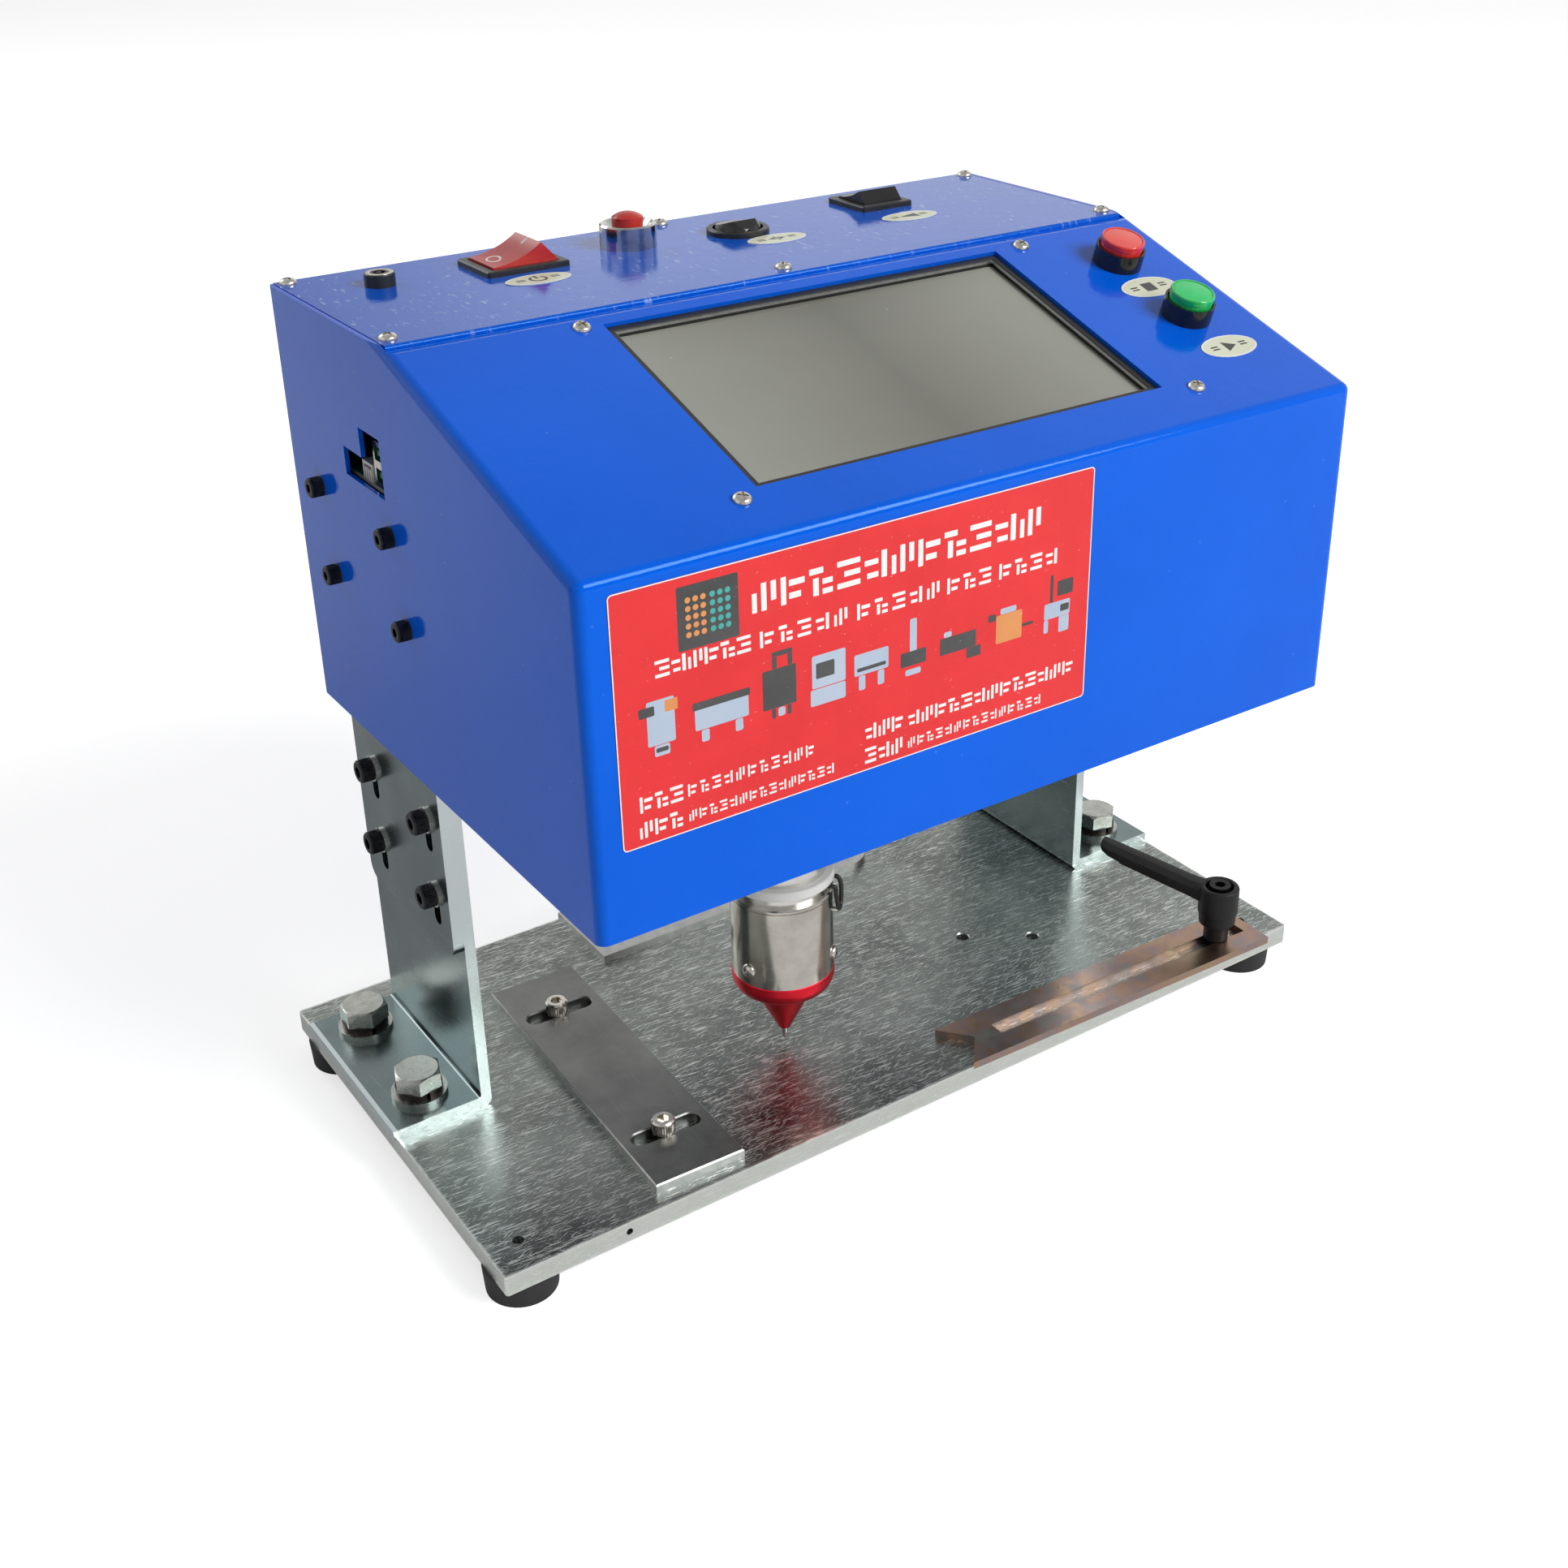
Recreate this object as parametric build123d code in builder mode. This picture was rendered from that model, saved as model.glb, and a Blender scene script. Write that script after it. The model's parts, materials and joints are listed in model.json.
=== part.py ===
from build123d import *
import math
import os

os.makedirs("parts", exist_ok=True)

# Nameplate marking machine, millimetres, +Z up, feet on Z = 0.
# X runs to the right, Y to the back, and the origin is under the middle of the machine.

# Driving dimensions

# base plate and feet
base_width = 360
base_depth = 182
base_thick = 8
base_corner_r = 1.2
foot_height = 10
foot_top_r = 13
foot_bottom_r = 12.4
foot_left_inset = 11.7
foot_right_inset = 13
foot_front_inset = 13.9
foot_screw_r = 2
foot_head_r = 3.6
foot_head_h = 2.6
foot_head_recess = 4
foot_screw_bite = 5
spare_hole_r = 2.5
spare_hole_chamfer = 0.5
spare_hole_inset = 114.8
spare_hole_y = 71.8
spare_pitch_x = 23.9
spare_pitch_y = 16.3
edge_hole_r = 1.25
edge_hole_depth = 8
edge_hole_x = 46.2

# angle brackets that stand on the base
bracket_thick = 4
bracket_bend_r = 2.5
bracket_depth = 80.3
bracket_front = 85.4
bracket_gap = 2.7
bracket_inset = 37
bracket_right_inset = 43
left_foot_overhang = 1.4

# hex bolts of the brackets
bolt_r = 5
bolt_flats = 16
bolt_head_h = 6.4
bolt_chamfer = 0.7
bolt_bite = 6
bolt_pitch = 50
bolt_first = 16.2
left_bolt_reach = 21
right_bolt_reach = 26.7
flat_washer_r = 10.25
flat_washer_h = 2
spring_washer_r = 8.6
spring_washer_h = 2.5
spring_washer_slit = 1.4

# hanger plates and their clamp screws
hanger_thick = 4
hanger_back_gap = 22.1
hanger_drop = 68.7
hanger_reach = 96.3
hanger_corner_r = 6
slot_width = 5.3
slot_drop = 12.5
slot_rise = 3
clamp_last_y = 15.8
clamp_pitch_z = 29.7
clamp_first_y = 11.3
clamp_drop = 46.5
clamp_screw_r = 2.5
clamp_head_r = 4.25
clamp_head_h = 5
socket_edge = 0.5
clamp_hex = 4
clamp_hex_depth = 2.6
clamp_washer_r = 4.9
clamp_washer_h = 1

# enclosure
wall = 1.5
nose_reach = 31.5
case_depth = 212
case_bottom = 133.7
case_height = 151.3
nose_height = 113.6
slope_run = 117.8
case_bend_r = 3.5
flange_width = 10
cover_side_gap = 0.5
cover_edge_r = 1.2
cover_screw_first = 6
cover_screw_last = 5
cover_screw_back = 4
cover_screw_front = 7
cover_screw_r = 1.5
cover_head_r = 3
cover_head_h = 1.9
cover_head_round = 1.2
cross_length = 3.4
cross_width = 0.8
cross_depth = 0.9
side_screw_r = 2
side_head_r = 3.5
side_head_h = 4.6
side_hex = 3
side_hex_depth = 2.4
side_last_y = 5
side_upper_y = 9.5
side_lower_y = 4
side_upper_lift = 87.7
side_lower_lift = 57.5
front_label_width = 173.2
front_label_height = 79.8
front_label_first = 9.5
front_label_lift = 29.1
label_thick = 0.25
oval_long = 24
oval_short = 12.3

# screen on the sloped face, measured along the slope from its top edge
screen_width = 158.8
screen_height = 92.4
screen_place_share = 0.6937
screen_top = 9.4
screen_gap = 0.6
screen_recess = 4
screen_glass_thick = 1.8
screen_body_depth = 11
screen_rim = 2.7
screen_screw_out = 9.55
screen_screw_over = 2.1
screen_screw_shift = 2.2
screen_ear = 3.5
screen_sink = 1.3
screen_plate_thick = 2

# push buttons on the sloped face
key_place_share = 0.90401
key_first = 30
key_pitch = 38.1
collar_r = 9
collar_h = 6.5
collar_stem_r = 7.6
collar_stem_depth = 16
cap_r = 7.9
cap_h = 10
cap_length = 5.4
collar_cup = 4.5
cap_rim = 0.8
key_bore_r = 6
key_bore_depth = 13
key_stem_length = 12
slope_label_shift = 1.5
slope_label_first = 48.1
slope_label_pitch = 41.4

# controls on the roof: places across are shares of its width, places back are from its rear edge
jack_place_share = 0.101
jack_back = 24.7
jack_r = 5.2
jack_h = 4.4
jack_ring_h = 1
jack_bore_r = 2.15
jack_bore_depth = 9
jack_depth = 14
jack_stem_r = 4.6
jack_pin_r = 0.75
power_place_share = 0.26154
power_back = 27.1
power_width = 31
power_depth = 25.2
bezel_h = 2
bezel_rim = 2.6
bezel_corner_r = 1
bezel_edge = 0.4
switch_wall = 1.2
switch_cavity = 8
switch_body_depth = 22
power_peak = 8.8
round_place_share = 0.55619
round_back = 32.5
round_r = 11.5
round_rim = 2.2
round_body_r = 10.6
round_peak = 5.2
drive_place_share = 0.77759
drive_back = 23.2
drive_width = 23
drive_depth = 24
drive_peak = 6.4
rocker_gap = 0.35
rocker_low = 2.6
rocker_keel = 5
rocker_pivot_drop = 1
rocker_pin_r = 1.2
pin_bite = 0.8
ridge_share = 0.5
dip_share = 0.32
dip_place_share = 0.3
keel_share = 0.35
push_place_share = 0.41472
push_back = 26.5
push_ring_r = 10.2
push_ring_h = 8.4
push_edge = 0.6
push_bore = 5.9
push_bore_depth = 8
push_cone_r = 8.9
push_cone_depth = 3.2
push_stem_r = 8
push_stem_depth = 18
push_cap_r = 5.6
push_cap_rise = 2
push_cap_dome = 1.9
push_cap_length = 12
roof_label_back = 50.1
power_label_shift = -2.3
round_label_shift = 5.5
drive_label_shift = -1.1

# opening in the left wall for the computer cable, and the board behind it
port_front = 95.8
port_width = 31.4
port_bottom = 99.6
port_height = 19.9
port_tall_width = 16.4
port_low_height = 9.7
board_thick = 1.6
board_width = 172
board_front_gap = 8.8
board_back_gap = 8
board_wall_gap = 2.2
usb_width = 14.5
usb_height = 15.6
usb_length = 17
usb_mouth_width = 12.5
usb_mouth_height = 5.1
usb_mouth_depth = 9
usb_mouth_pitch = 7.6
usb_inset = 0.5
usb_tongue = 1.8
header_width = 8
header_height = 6
header_length = 7
header_wall = 0.9
header_margin = 6
post_r = 2.5
post_inset = 5
chip_size = 14
chip_h = 1.4

# marking head: heights above the base plate
head_x = 145.4
head_y = 54.8
tip_height = 1.4
pin_r = 1.25
tip_r = 0.2
tip_length = 3
cone_tip_z = 7
cone_tip_r = 2.2
cone_top_z = 26.5
cone_r = 11.8
neck_r = 11.5
ring_bottom_z = 27
ring_r = 19.3
ring_height = 9
ring_edge_r = 6
barrel_r = 19.1
barrel_height = 34
barrel_floor = 4
barrel_cavity_r = 15
barrel_groove = 0.5
barrel_groove_drop = 1.2
tube_r = 16.8
tube_bore_r = 14
tube_seat = 12
tube_reach = 74.3
band_gap = 4.2
band_height = 4
band_r = 19.8
band_edge_r = 0.8
coil_length = 17
coil_bore_r = 6.6
coil_gap = 0.3
armature_r = 6.2
armature_length = 18
armature_lift = 2
spring_seat_z = 13.5
spring_r = 3.2
spring_bore_r = 1.6
nose_bore_r = 3.6
pin_collar_z = 30
barrel_screw_z = 6.2
barrel_screw_angle = -163.5
barrel_screw_count = 3
full_turn = 360
barrel_screw_r = 1.5
barrel_head_r = 2.8
barrel_head_h = 1.6
cable_r = 0.85
cable_angle = -34.2
cable_radius_share = 0.45
# route of the cable loop: outwards from the head's axis, across, and up from the base
cable_route = [
    (17.5, 2.4, 71.9),
    (20.9, 2.4, 72.2),
    (22.1, 2, 69.4),
    (22.2, 1.6, 65.4),
    (22, 0.9, 61.4),
    (21.5, -1.5, 60.2),
    (21, -3.7, 61.6),
    (20.5, -4.3, 65.2),
    (20.1, -4.8, 69),
    (20.1, -5.2, 72.2),
    (16.9, -4.9, 71.9),
]
lug_r = 1.1
lug_reach = 2.4
lug_drop = 11

# stage inside the enclosure, with heights above the enclosure's lower edge
stage_gap = 3.3
stage_thick = 8
stage_rim = 1
window_margin = 53
window_depth = 110
window_front = 8
y_rail_r = 5
y_rail_lift = 26.3
y_rail_inset = 23
lug_thick = 12
lug_width = 18
lug_front_gap = 6
motor_back_gap = 3
lug_cap = 6
y_screw_r = 4
y_screw_shift = 20
y_screw_lift = 29.9
motor_size = 35.2
motor_length = 34
motor_corner = 3
carriage_thick = 6
carriage_depth = 70
carriage_lift = 38.3
bearing_length = 60
bearing_side = 11
bearing_drop = 10
bearing_wall = 5
carriage_window_inset = 55
carriage_window_margin = 41
carriage_window_depth = 42
x_rail_r = 4
x_rail_lift = 54.3
x_rail_pitch = 52
end_plate_thick = 6
end_plate_inset = 41
end_plate_reach = 89.3
end_plate_step_lift = 52.3
far_plate_thick = 12
far_plate_reach = 80.3
x_screw_lift = 70.3
slider_length = 52
slider_depth = 68
slider_gap = 2
slider_height = 32

# thin plate on the rear of the base
rear_plate_x = 114.7
rear_plate_width = 137.3
rear_plate_front = 141.5
rear_plate_thick = 3
rear_plate_corner_r = 14

# left stop bar
left_bar_width = 35
left_bar_length = 137
left_bar_thick = 4
left_bar_angle = -1.8
bar_edge = 0.5
left_bar_x = 80.4
left_bar_y = 74.4
left_slot_length = 27
left_slot_width = 6.8
left_slot_pitch = 86.5
stop_screw_r = 2.5
stop_head_r = 4.25
stop_head_h = 5
stop_hex = 4
stop_hex_depth = 2.5
stop_bite = 8
stop_screw_shift = 1

# right stop bar and its clamp lever
right_bar_length = 151
right_bar_width = 24.7
right_bar_thick = 3
right_bar_angle = -1.4
right_bar_inset = 167
right_bar_y = -1.4
notch_depth = 10
notch_share = 0.52
right_slot_first = 20
right_slot_length = 126
right_slot_width = 6.8
stud_r = 3
stud_place = 133.4
stud_collar_r = 5
stud_collar_h = 7.5
stud_bite = 7
stud_head_r = 4.3
stud_head_h = 4
stud_hex = 4
stud_hex_depth = 2.4
lever_hub_r = 8.1
lever_hub_top_r = 7.9
lever_hub_h = 17.1
lever_skirt_r = 7.4
lever_skirt_h = 5
lever_recess_r = 5.7
lever_recess_depth = 3.4
lever_length = 50
lever_arm_width = 9.5
lever_tip_width = 8
lever_arm_depth = 8.4
lever_rise = 10.6
lever_elbow = 12
lever_elbow_rise = 1.2
lever_angle = 120

# fits and working values
run_gap = 0.03
press_gap = 0.01
seam = 0.3
cut_over = 1

# Places worked out from the sizes above

deck = foot_height + base_thick
base_left = (left_foot_overhang - base_width) / 2
base_front = (nose_reach + label_thick - base_depth) / 2
ground = Plane(origin=(base_left, base_front, deck))
sideways = Plane(origin=ground.origin, x_dir=(0, 1, 0), z_dir=(1, 0, 0))
facing = Plane(origin=ground.origin, x_dir=(1, 0, 0), z_dir=(0, -1, 0))

bracket_height = case_bottom - bracket_gap
hanger_bottom = case_bottom - hanger_drop
hanger_top = case_bottom + hanger_reach
clamp_first_z = case_bottom - clamp_drop
side_upper_z = case_bottom + side_upper_lift
side_lower_z = case_bottom + side_lower_lift
y_rail_z = case_bottom + y_rail_lift
y_screw_z = case_bottom + y_screw_lift
carriage_z = case_bottom + carriage_lift
x_rail_z = case_bottom + x_rail_lift
end_plate_top = case_bottom + end_plate_reach
end_plate_step = case_bottom + end_plate_step_lift
far_plate_top = case_bottom + far_plate_reach
x_screw_z = case_bottom + x_screw_lift
tube_top_z = case_bottom + tube_reach
right_inner = base_width - bracket_right_inset
bracket_span = right_inner - bracket_inset
spare_hole_x = base_width - spare_hole_inset
right_bar_x = base_width - right_bar_inset
left_upright = bracket_inset - bracket_thick
right_outer = right_inner + bracket_thick
centre_x = bracket_inset + bracket_span / 2
middle = sideways.offset(centre_x)
left_hang = left_upright - hanger_thick
right_hang = right_outer + hanger_thick
case_left = left_hang - wall
case_right = right_hang + wall
case_width = case_right - case_left
case_back = case_depth - nose_reach
case_top = case_bottom + case_height
nose_top = case_bottom + nose_height
roof_depth = case_depth - slope_run
roof_front = slope_run - nose_reach
slope_fall = case_height - nose_height
slope_turn = math.atan2(slope_fall, slope_run)
wall_lift = wall / math.cos(slope_turn)
slope_face = Plane(
    origin=(base_left + case_left, base_front + roof_front, deck + case_top),
    x_dir=(1, 0, 0),
    z_dir=(0, -math.sin(slope_turn), math.cos(slope_turn)),
)
slope_up = Axis(slope_face.origin, slope_face.z_dir)
roof = Plane(origin=(base_left + case_left, base_front, deck + case_top))
left_bolt_x = bracket_inset - left_bolt_reach
right_bolt_x = right_inner + right_bolt_reach
first_bolt_y = bracket_front + bolt_first
bolt_spots = [(x, first_bolt_y + row * bolt_pitch) for x in (left_bolt_x, right_bolt_x) for row in range(2)]
hanger_depth = case_back - hanger_back_gap - bracket_front
clamp_y = bracket_front + clamp_first_y
clamp_pitch_y = hanger_depth - clamp_first_y - clamp_last_y
side_pitch = hanger_depth - side_upper_y - side_last_y
clamp_spots = [
    (clamp_y + row * clamp_pitch_y, clamp_first_z + level * clamp_pitch_z)
    for row in range(2)
    for level in range(2)
]
side_spots = [
    (bracket_front + start + row * side_pitch, height)
    for start, height in ((side_upper_y, side_upper_z), (side_lower_y, side_lower_z))
    for row in range(2)
]
foot_spots = [
    (x, y)
    for x in (foot_left_inset, base_width - foot_right_inset)
    for y in (foot_front_inset, base_depth - foot_front_inset)
]
stop_screw_spots = [(-stop_screw_shift, row * left_slot_pitch / 2) for row in (-1, 1)]
left_bar = Plane(ground.location * Location((left_bar_x, left_bar_y, 0), (0, 0, left_bar_angle)))
right_bar = Plane(ground.location * Location((right_bar_x, right_bar_y, 0), (0, 0, right_bar_angle)))
stud_y = right_bar_width / 2
cover_screw_pitch = (case_width - cover_screw_first - cover_screw_last) / 2
cover_screw_pitch_y = roof_depth - cover_screw_back - cover_screw_front
cover_spots = [
    (cover_screw_first + column * cover_screw_pitch, case_back - cover_screw_back - row * cover_screw_pitch_y)
    for column in (0, 1, 2)
    for row in (0, 1)
]
key_x = case_width * key_place_share
screen_first = (key_x - collar_r - screen_width) * screen_place_share
screen_screw_span = screen_width + 2 * screen_screw_out
screen_screw_drop = screen_height + 2 * screen_screw_over
screen_x = screen_first + screen_width / 2
screen_y = -screen_top - screen_height / 2
screen_screw_x = screen_x + screen_screw_shift
screen_screw_y = screen_y - screen_screw_shift
screen_screw_spots = [
    (screen_screw_x + column * screen_screw_span / 2, screen_screw_y + row * screen_screw_drop / 2)
    for column in (-1, 1)
    for row in (-1, 1)
]
key_spots = [(key_x, -key_first), (key_x, -key_first - key_pitch)]
jack_x = case_width * jack_place_share
jack_y = case_back - jack_back
power_x = case_width * power_place_share
power_y = case_back - power_back
push_x = case_width * push_place_share
push_y = case_back - push_back
round_x = case_width * round_place_share
round_y = case_back - round_back
drive_x = case_width * drive_place_share
drive_y = case_back - drive_back
roof_label_y = case_back - roof_label_back
power_body_width = power_width - 2 * (bezel_rim - switch_wall)
power_body_depth = power_depth - 2 * (bezel_rim - switch_wall)
drive_body_width = drive_width - 2 * (bezel_rim - switch_wall)
drive_body_depth = drive_depth - 2 * (bezel_rim - switch_wall)

# Base plate, drilled for the feet, the brackets, the left stop's screws and the lever's stud

with BuildPart() as base_plate:
    with BuildSketch(ground.offset(-base_thick)):
        with Locations((base_width / 2, base_depth / 2)):
            RectangleRounded(base_width, base_depth, base_corner_r)
    extrude(amount=base_thick)
    with BuildSketch(ground):
        with Locations(*foot_spots):
            Circle(foot_screw_r + press_gap)
    extrude(amount=-base_thick, mode=Mode.SUBTRACT)
    with BuildSketch(ground):
        with Locations(*bolt_spots):
            Circle(bolt_r + press_gap)
    extrude(amount=-bolt_bite - cut_over, mode=Mode.SUBTRACT)
    with BuildSketch(ground):
        with Locations(
            (spare_hole_x, spare_hole_y),
            (spare_hole_x + spare_pitch_x, spare_hole_y - spare_pitch_y),
        ):
            Circle(spare_hole_r)
    extrude(amount=-base_thick, mode=Mode.SUBTRACT)
    with BuildSketch(left_bar):
        with Locations(*stop_screw_spots):
            Circle(stop_screw_r + press_gap)
    extrude(amount=-base_thick, mode=Mode.SUBTRACT)
    with BuildSketch(right_bar):
        with Locations((stud_place, stud_y)):
            Circle(stud_r + press_gap)
    extrude(amount=-base_thick, mode=Mode.SUBTRACT)
    with BuildSketch(facing):
        with Locations((edge_hole_x, -base_thick / 2)):
            Circle(edge_hole_r)
    extrude(amount=-edge_hole_depth, mode=Mode.SUBTRACT)
    spare_rims = (
        base_plate.edges()
        .filter_by(GeomType.CIRCLE)
        .filter_by(lambda rim: math.isclose(rim.radius, spare_hole_r))
        .group_by(Axis.Z)[-1]
    )
    chamfer(spare_rims, spare_hole_chamfer)
base_plate.part.label = "base_plate"
export_step(base_plate.part, "parts/base_plate.step")

# Rubber feet and the screws that hold them

floor = ground.offset(-deck)

with BuildPart() as rubber_feet:
    with BuildSketch(floor.offset(foot_height)):
        with Locations(*foot_spots):
            Circle(foot_top_r)
    extrude(amount=-foot_height, taper=math.degrees(math.atan2(foot_top_r - foot_bottom_r, foot_height)))
    with BuildSketch(floor):
        with Locations(*foot_spots):
            Circle(foot_head_r + seam)
    extrude(amount=foot_head_recess, mode=Mode.SUBTRACT)
    with BuildSketch(floor):
        with Locations(*foot_spots):
            Circle(foot_screw_r + seam)
    extrude(amount=foot_height, mode=Mode.SUBTRACT)
rubber_feet.part.label = "rubber_feet"
export_step(rubber_feet.part, "parts/rubber_feet.step")

with BuildPart() as foot_screws:
    with BuildSketch(floor.offset(foot_head_recess - foot_head_h)):
        with Locations(*foot_spots):
            Circle(foot_head_r)
    extrude(amount=foot_head_h)
    with BuildSketch(floor.offset(foot_head_recess)):
        with Locations(*foot_spots):
            Circle(foot_screw_r)
    extrude(amount=foot_height - foot_head_recess + foot_screw_bite)
foot_screws.part.label = "foot_screws"
export_step(foot_screws.part, "parts/foot_screws.step")

# Angle brackets: foot turned outwards, upright inside, tapped for the clamp screws

for side, foot_end in ((-1, -left_foot_overhang), (1, base_width)):
    inner = centre_x + side * bracket_span / 2
    upright = inner + side * bracket_thick
    bolt_x = left_bolt_x if side < 0 else right_bolt_x
    with BuildPart() as bracket:
        with BuildSketch(facing.offset(-bracket_front)):
            with BuildLine():
                Polyline(
                    (inner, 0),
                    (foot_end, 0),
                    (foot_end, bracket_thick),
                    (upright, bracket_thick),
                    (upright, bracket_height),
                    (inner, bracket_height),
                    close=True,
                )
            make_face()
        extrude(amount=-bracket_depth)
        bend = bracket.edges().filter_by(Axis.Y)
        outer_bend = bend.sort_by_distance(ground.from_local_coords((inner, bracket_front, 0)))[0]
        inner_bend = bend.sort_by_distance(
            ground.from_local_coords((upright, bracket_front, bracket_thick))
        )[0]
        fillet(outer_bend, bracket_bend_r)
        fillet(inner_bend, bracket_bend_r / 2)
        with BuildSketch(ground.offset(bracket_thick)):
            with Locations(*[spot for spot in bolt_spots if spot[0] == bolt_x]):
                Circle(bolt_r + seam)
        extrude(amount=-bracket_thick, mode=Mode.SUBTRACT)
        with BuildSketch(sideways.offset(inner)):
            with Locations(*clamp_spots):
                Circle(clamp_screw_r + press_gap)
        extrude(amount=side * bracket_thick, mode=Mode.SUBTRACT)
    name = "left_bracket" if side < 0 else "right_bracket"
    bracket.part.label = name
    export_step(bracket.part, f"parts/{name}.step")

# Hex bolts with their spring washers and flat washers

washer_top = bracket_thick + flat_washer_h
bolt_seat = washer_top + spring_washer_h

with BuildPart() as bolt_flat_washers:
    with BuildSketch(ground.offset(bracket_thick)):
        with Locations(*bolt_spots):
            Circle(flat_washer_r)
            Circle(bolt_r + seam, mode=Mode.SUBTRACT)
    extrude(amount=flat_washer_h)
bolt_flat_washers.part.label = "bolt_flat_washers"
export_step(bolt_flat_washers.part, "parts/bolt_flat_washers.step")

with BuildPart() as bolt_spring_washers:
    with BuildSketch(ground.offset(washer_top)):
        with Locations(*bolt_spots):
            Circle(spring_washer_r)
            Circle(bolt_r + seam, mode=Mode.SUBTRACT)
            with Locations((0, -spring_washer_r)):
                Rectangle(spring_washer_slit, 2 * (spring_washer_r - bolt_r), mode=Mode.SUBTRACT)
    extrude(amount=spring_washer_h)
bolt_spring_washers.part.label = "bolt_spring_washers"
export_step(bolt_spring_washers.part, "parts/bolt_spring_washers.step")

with BuildPart() as bracket_bolts:
    with BuildSketch(ground.offset(-bolt_bite)):
        with Locations(*bolt_spots):
            Circle(bolt_r)
    extrude(amount=bolt_bite + bolt_seat)
    with BuildSketch(ground.offset(bolt_seat)):
        with Locations(*bolt_spots):
            RegularPolygon(bolt_flats / 2, 6, major_radius=False)
    extrude(amount=bolt_head_h)
    chamfer(bracket_bolts.edges().group_by(Axis.Z)[-1], bolt_chamfer)
bracket_bolts.part.label = "bracket_bolts"
export_step(bracket_bolts.part, "parts/bracket_bolts.step")

# Hanger plates: the head hangs from them, and their slots ride on the clamp screws

with BuildPart() as left_hanger:
    with BuildSketch(sideways.offset(left_hang)):
        with Locations((bracket_front + hanger_depth / 2, (hanger_bottom + hanger_top) / 2)):
            RectangleRounded(hanger_depth, hanger_top - hanger_bottom, hanger_corner_r)
    extrude(amount=hanger_thick)
    slot_height = slot_drop + slot_rise
    with BuildSketch(sideways.offset(left_hang)):
        with Locations(*[(y, z + (slot_rise - slot_drop) / 2) for y, z in clamp_spots]):
            SlotOverall(slot_height, slot_width, rotation=90)
    extrude(amount=hanger_thick, mode=Mode.SUBTRACT)
    with BuildSketch(sideways.offset(left_hang)):
        with Locations(*side_spots):
            Circle(side_screw_r + press_gap)
    extrude(amount=hanger_thick, mode=Mode.SUBTRACT)
left_hanger.part.label = "left_hanger"
export_step(left_hanger.part, "parts/left_hanger.step")

with BuildPart() as right_hanger:
    mirror(left_hanger.part, about=middle)
right_hanger.part.label = "right_hanger"
export_step(right_hanger.part, "parts/right_hanger.step")

with BuildPart() as hanger_washers:
    with BuildSketch(sideways.offset(left_hang)):
        with Locations(*clamp_spots):
            Circle(clamp_washer_r)
            Circle(clamp_screw_r + press_gap, mode=Mode.SUBTRACT)
    extrude(amount=-clamp_washer_h)
    mirror(about=middle)
hanger_washers.part.label = "hanger_washers"
export_step(hanger_washers.part, "parts/hanger_washers.step")

clamp_seat = left_hang - clamp_washer_h

with BuildPart() as hanger_screws:
    with BuildSketch(sideways.offset(clamp_seat)):
        with Locations(*clamp_spots):
            Circle(clamp_screw_r)
    extrude(amount=bracket_inset - clamp_seat)
    with BuildSketch(sideways.offset(clamp_seat)):
        with Locations(*clamp_spots):
            Circle(clamp_head_r)
    extrude(amount=-clamp_head_h)
    fillet(hanger_screws.edges().group_by(Axis.X)[0], socket_edge)
    with BuildSketch(sideways.offset(clamp_seat - clamp_head_h)):
        with Locations(*clamp_spots):
            RegularPolygon(clamp_hex / 2, 6, major_radius=False)
    extrude(amount=clamp_hex_depth, mode=Mode.SUBTRACT)
    mirror(about=middle)
hanger_screws.part.label = "hanger_screws"
export_step(hanger_screws.part, "parts/hanger_screws.step")

# Enclosure shell: folded sheet, open at the bottom and under the roof cover

case_points = [
    (-nose_reach, case_bottom),
    (case_back, case_bottom),
    (case_back, case_top),
    (roof_front, case_top),
    (-nose_reach, nose_top),
]
hollow_front = wall - nose_reach
hollow_back = case_back - wall
flange_under = case_top - 2 * wall
slope_ratio = slope_fall / slope_run
hollow_points = [
    (hollow_front, case_bottom - cut_over),
    (hollow_back, case_bottom - cut_over),
    (hollow_back, flange_under),
    (roof_front - (2 * wall - wall_lift) / slope_ratio, flange_under),
    (hollow_front, case_top - (roof_front - hollow_front) * slope_ratio - wall_lift),
]
slope_line = Axis(slope_face.origin, slope_face.y_dir)
cases = []
for start, width, points, bend_r in (
    (case_left, case_width, case_points, case_bend_r),
    (left_hang, case_width - 2 * wall, hollow_points, case_bend_r - wall),
):
    with BuildPart() as block:
        with BuildSketch(sideways.offset(start)):
            with BuildLine():
                Polyline(*points, close=True)
            make_face()
        extrude(amount=width)
        nose_edge = block.edges().filter_by(Axis.X).group_by(Axis.Y)[0].sort_by(Axis.Z)[-1]
        bends = block.edges().filter_by(Axis.Z) + block.edges().filter_by(slope_line)
        fillet(bends + [nose_edge], bend_r)
    cases.append(block.part)

port_low = case_bottom + port_bottom
port_middle = port_low + port_low_height
port_top = port_low + port_height

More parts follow.
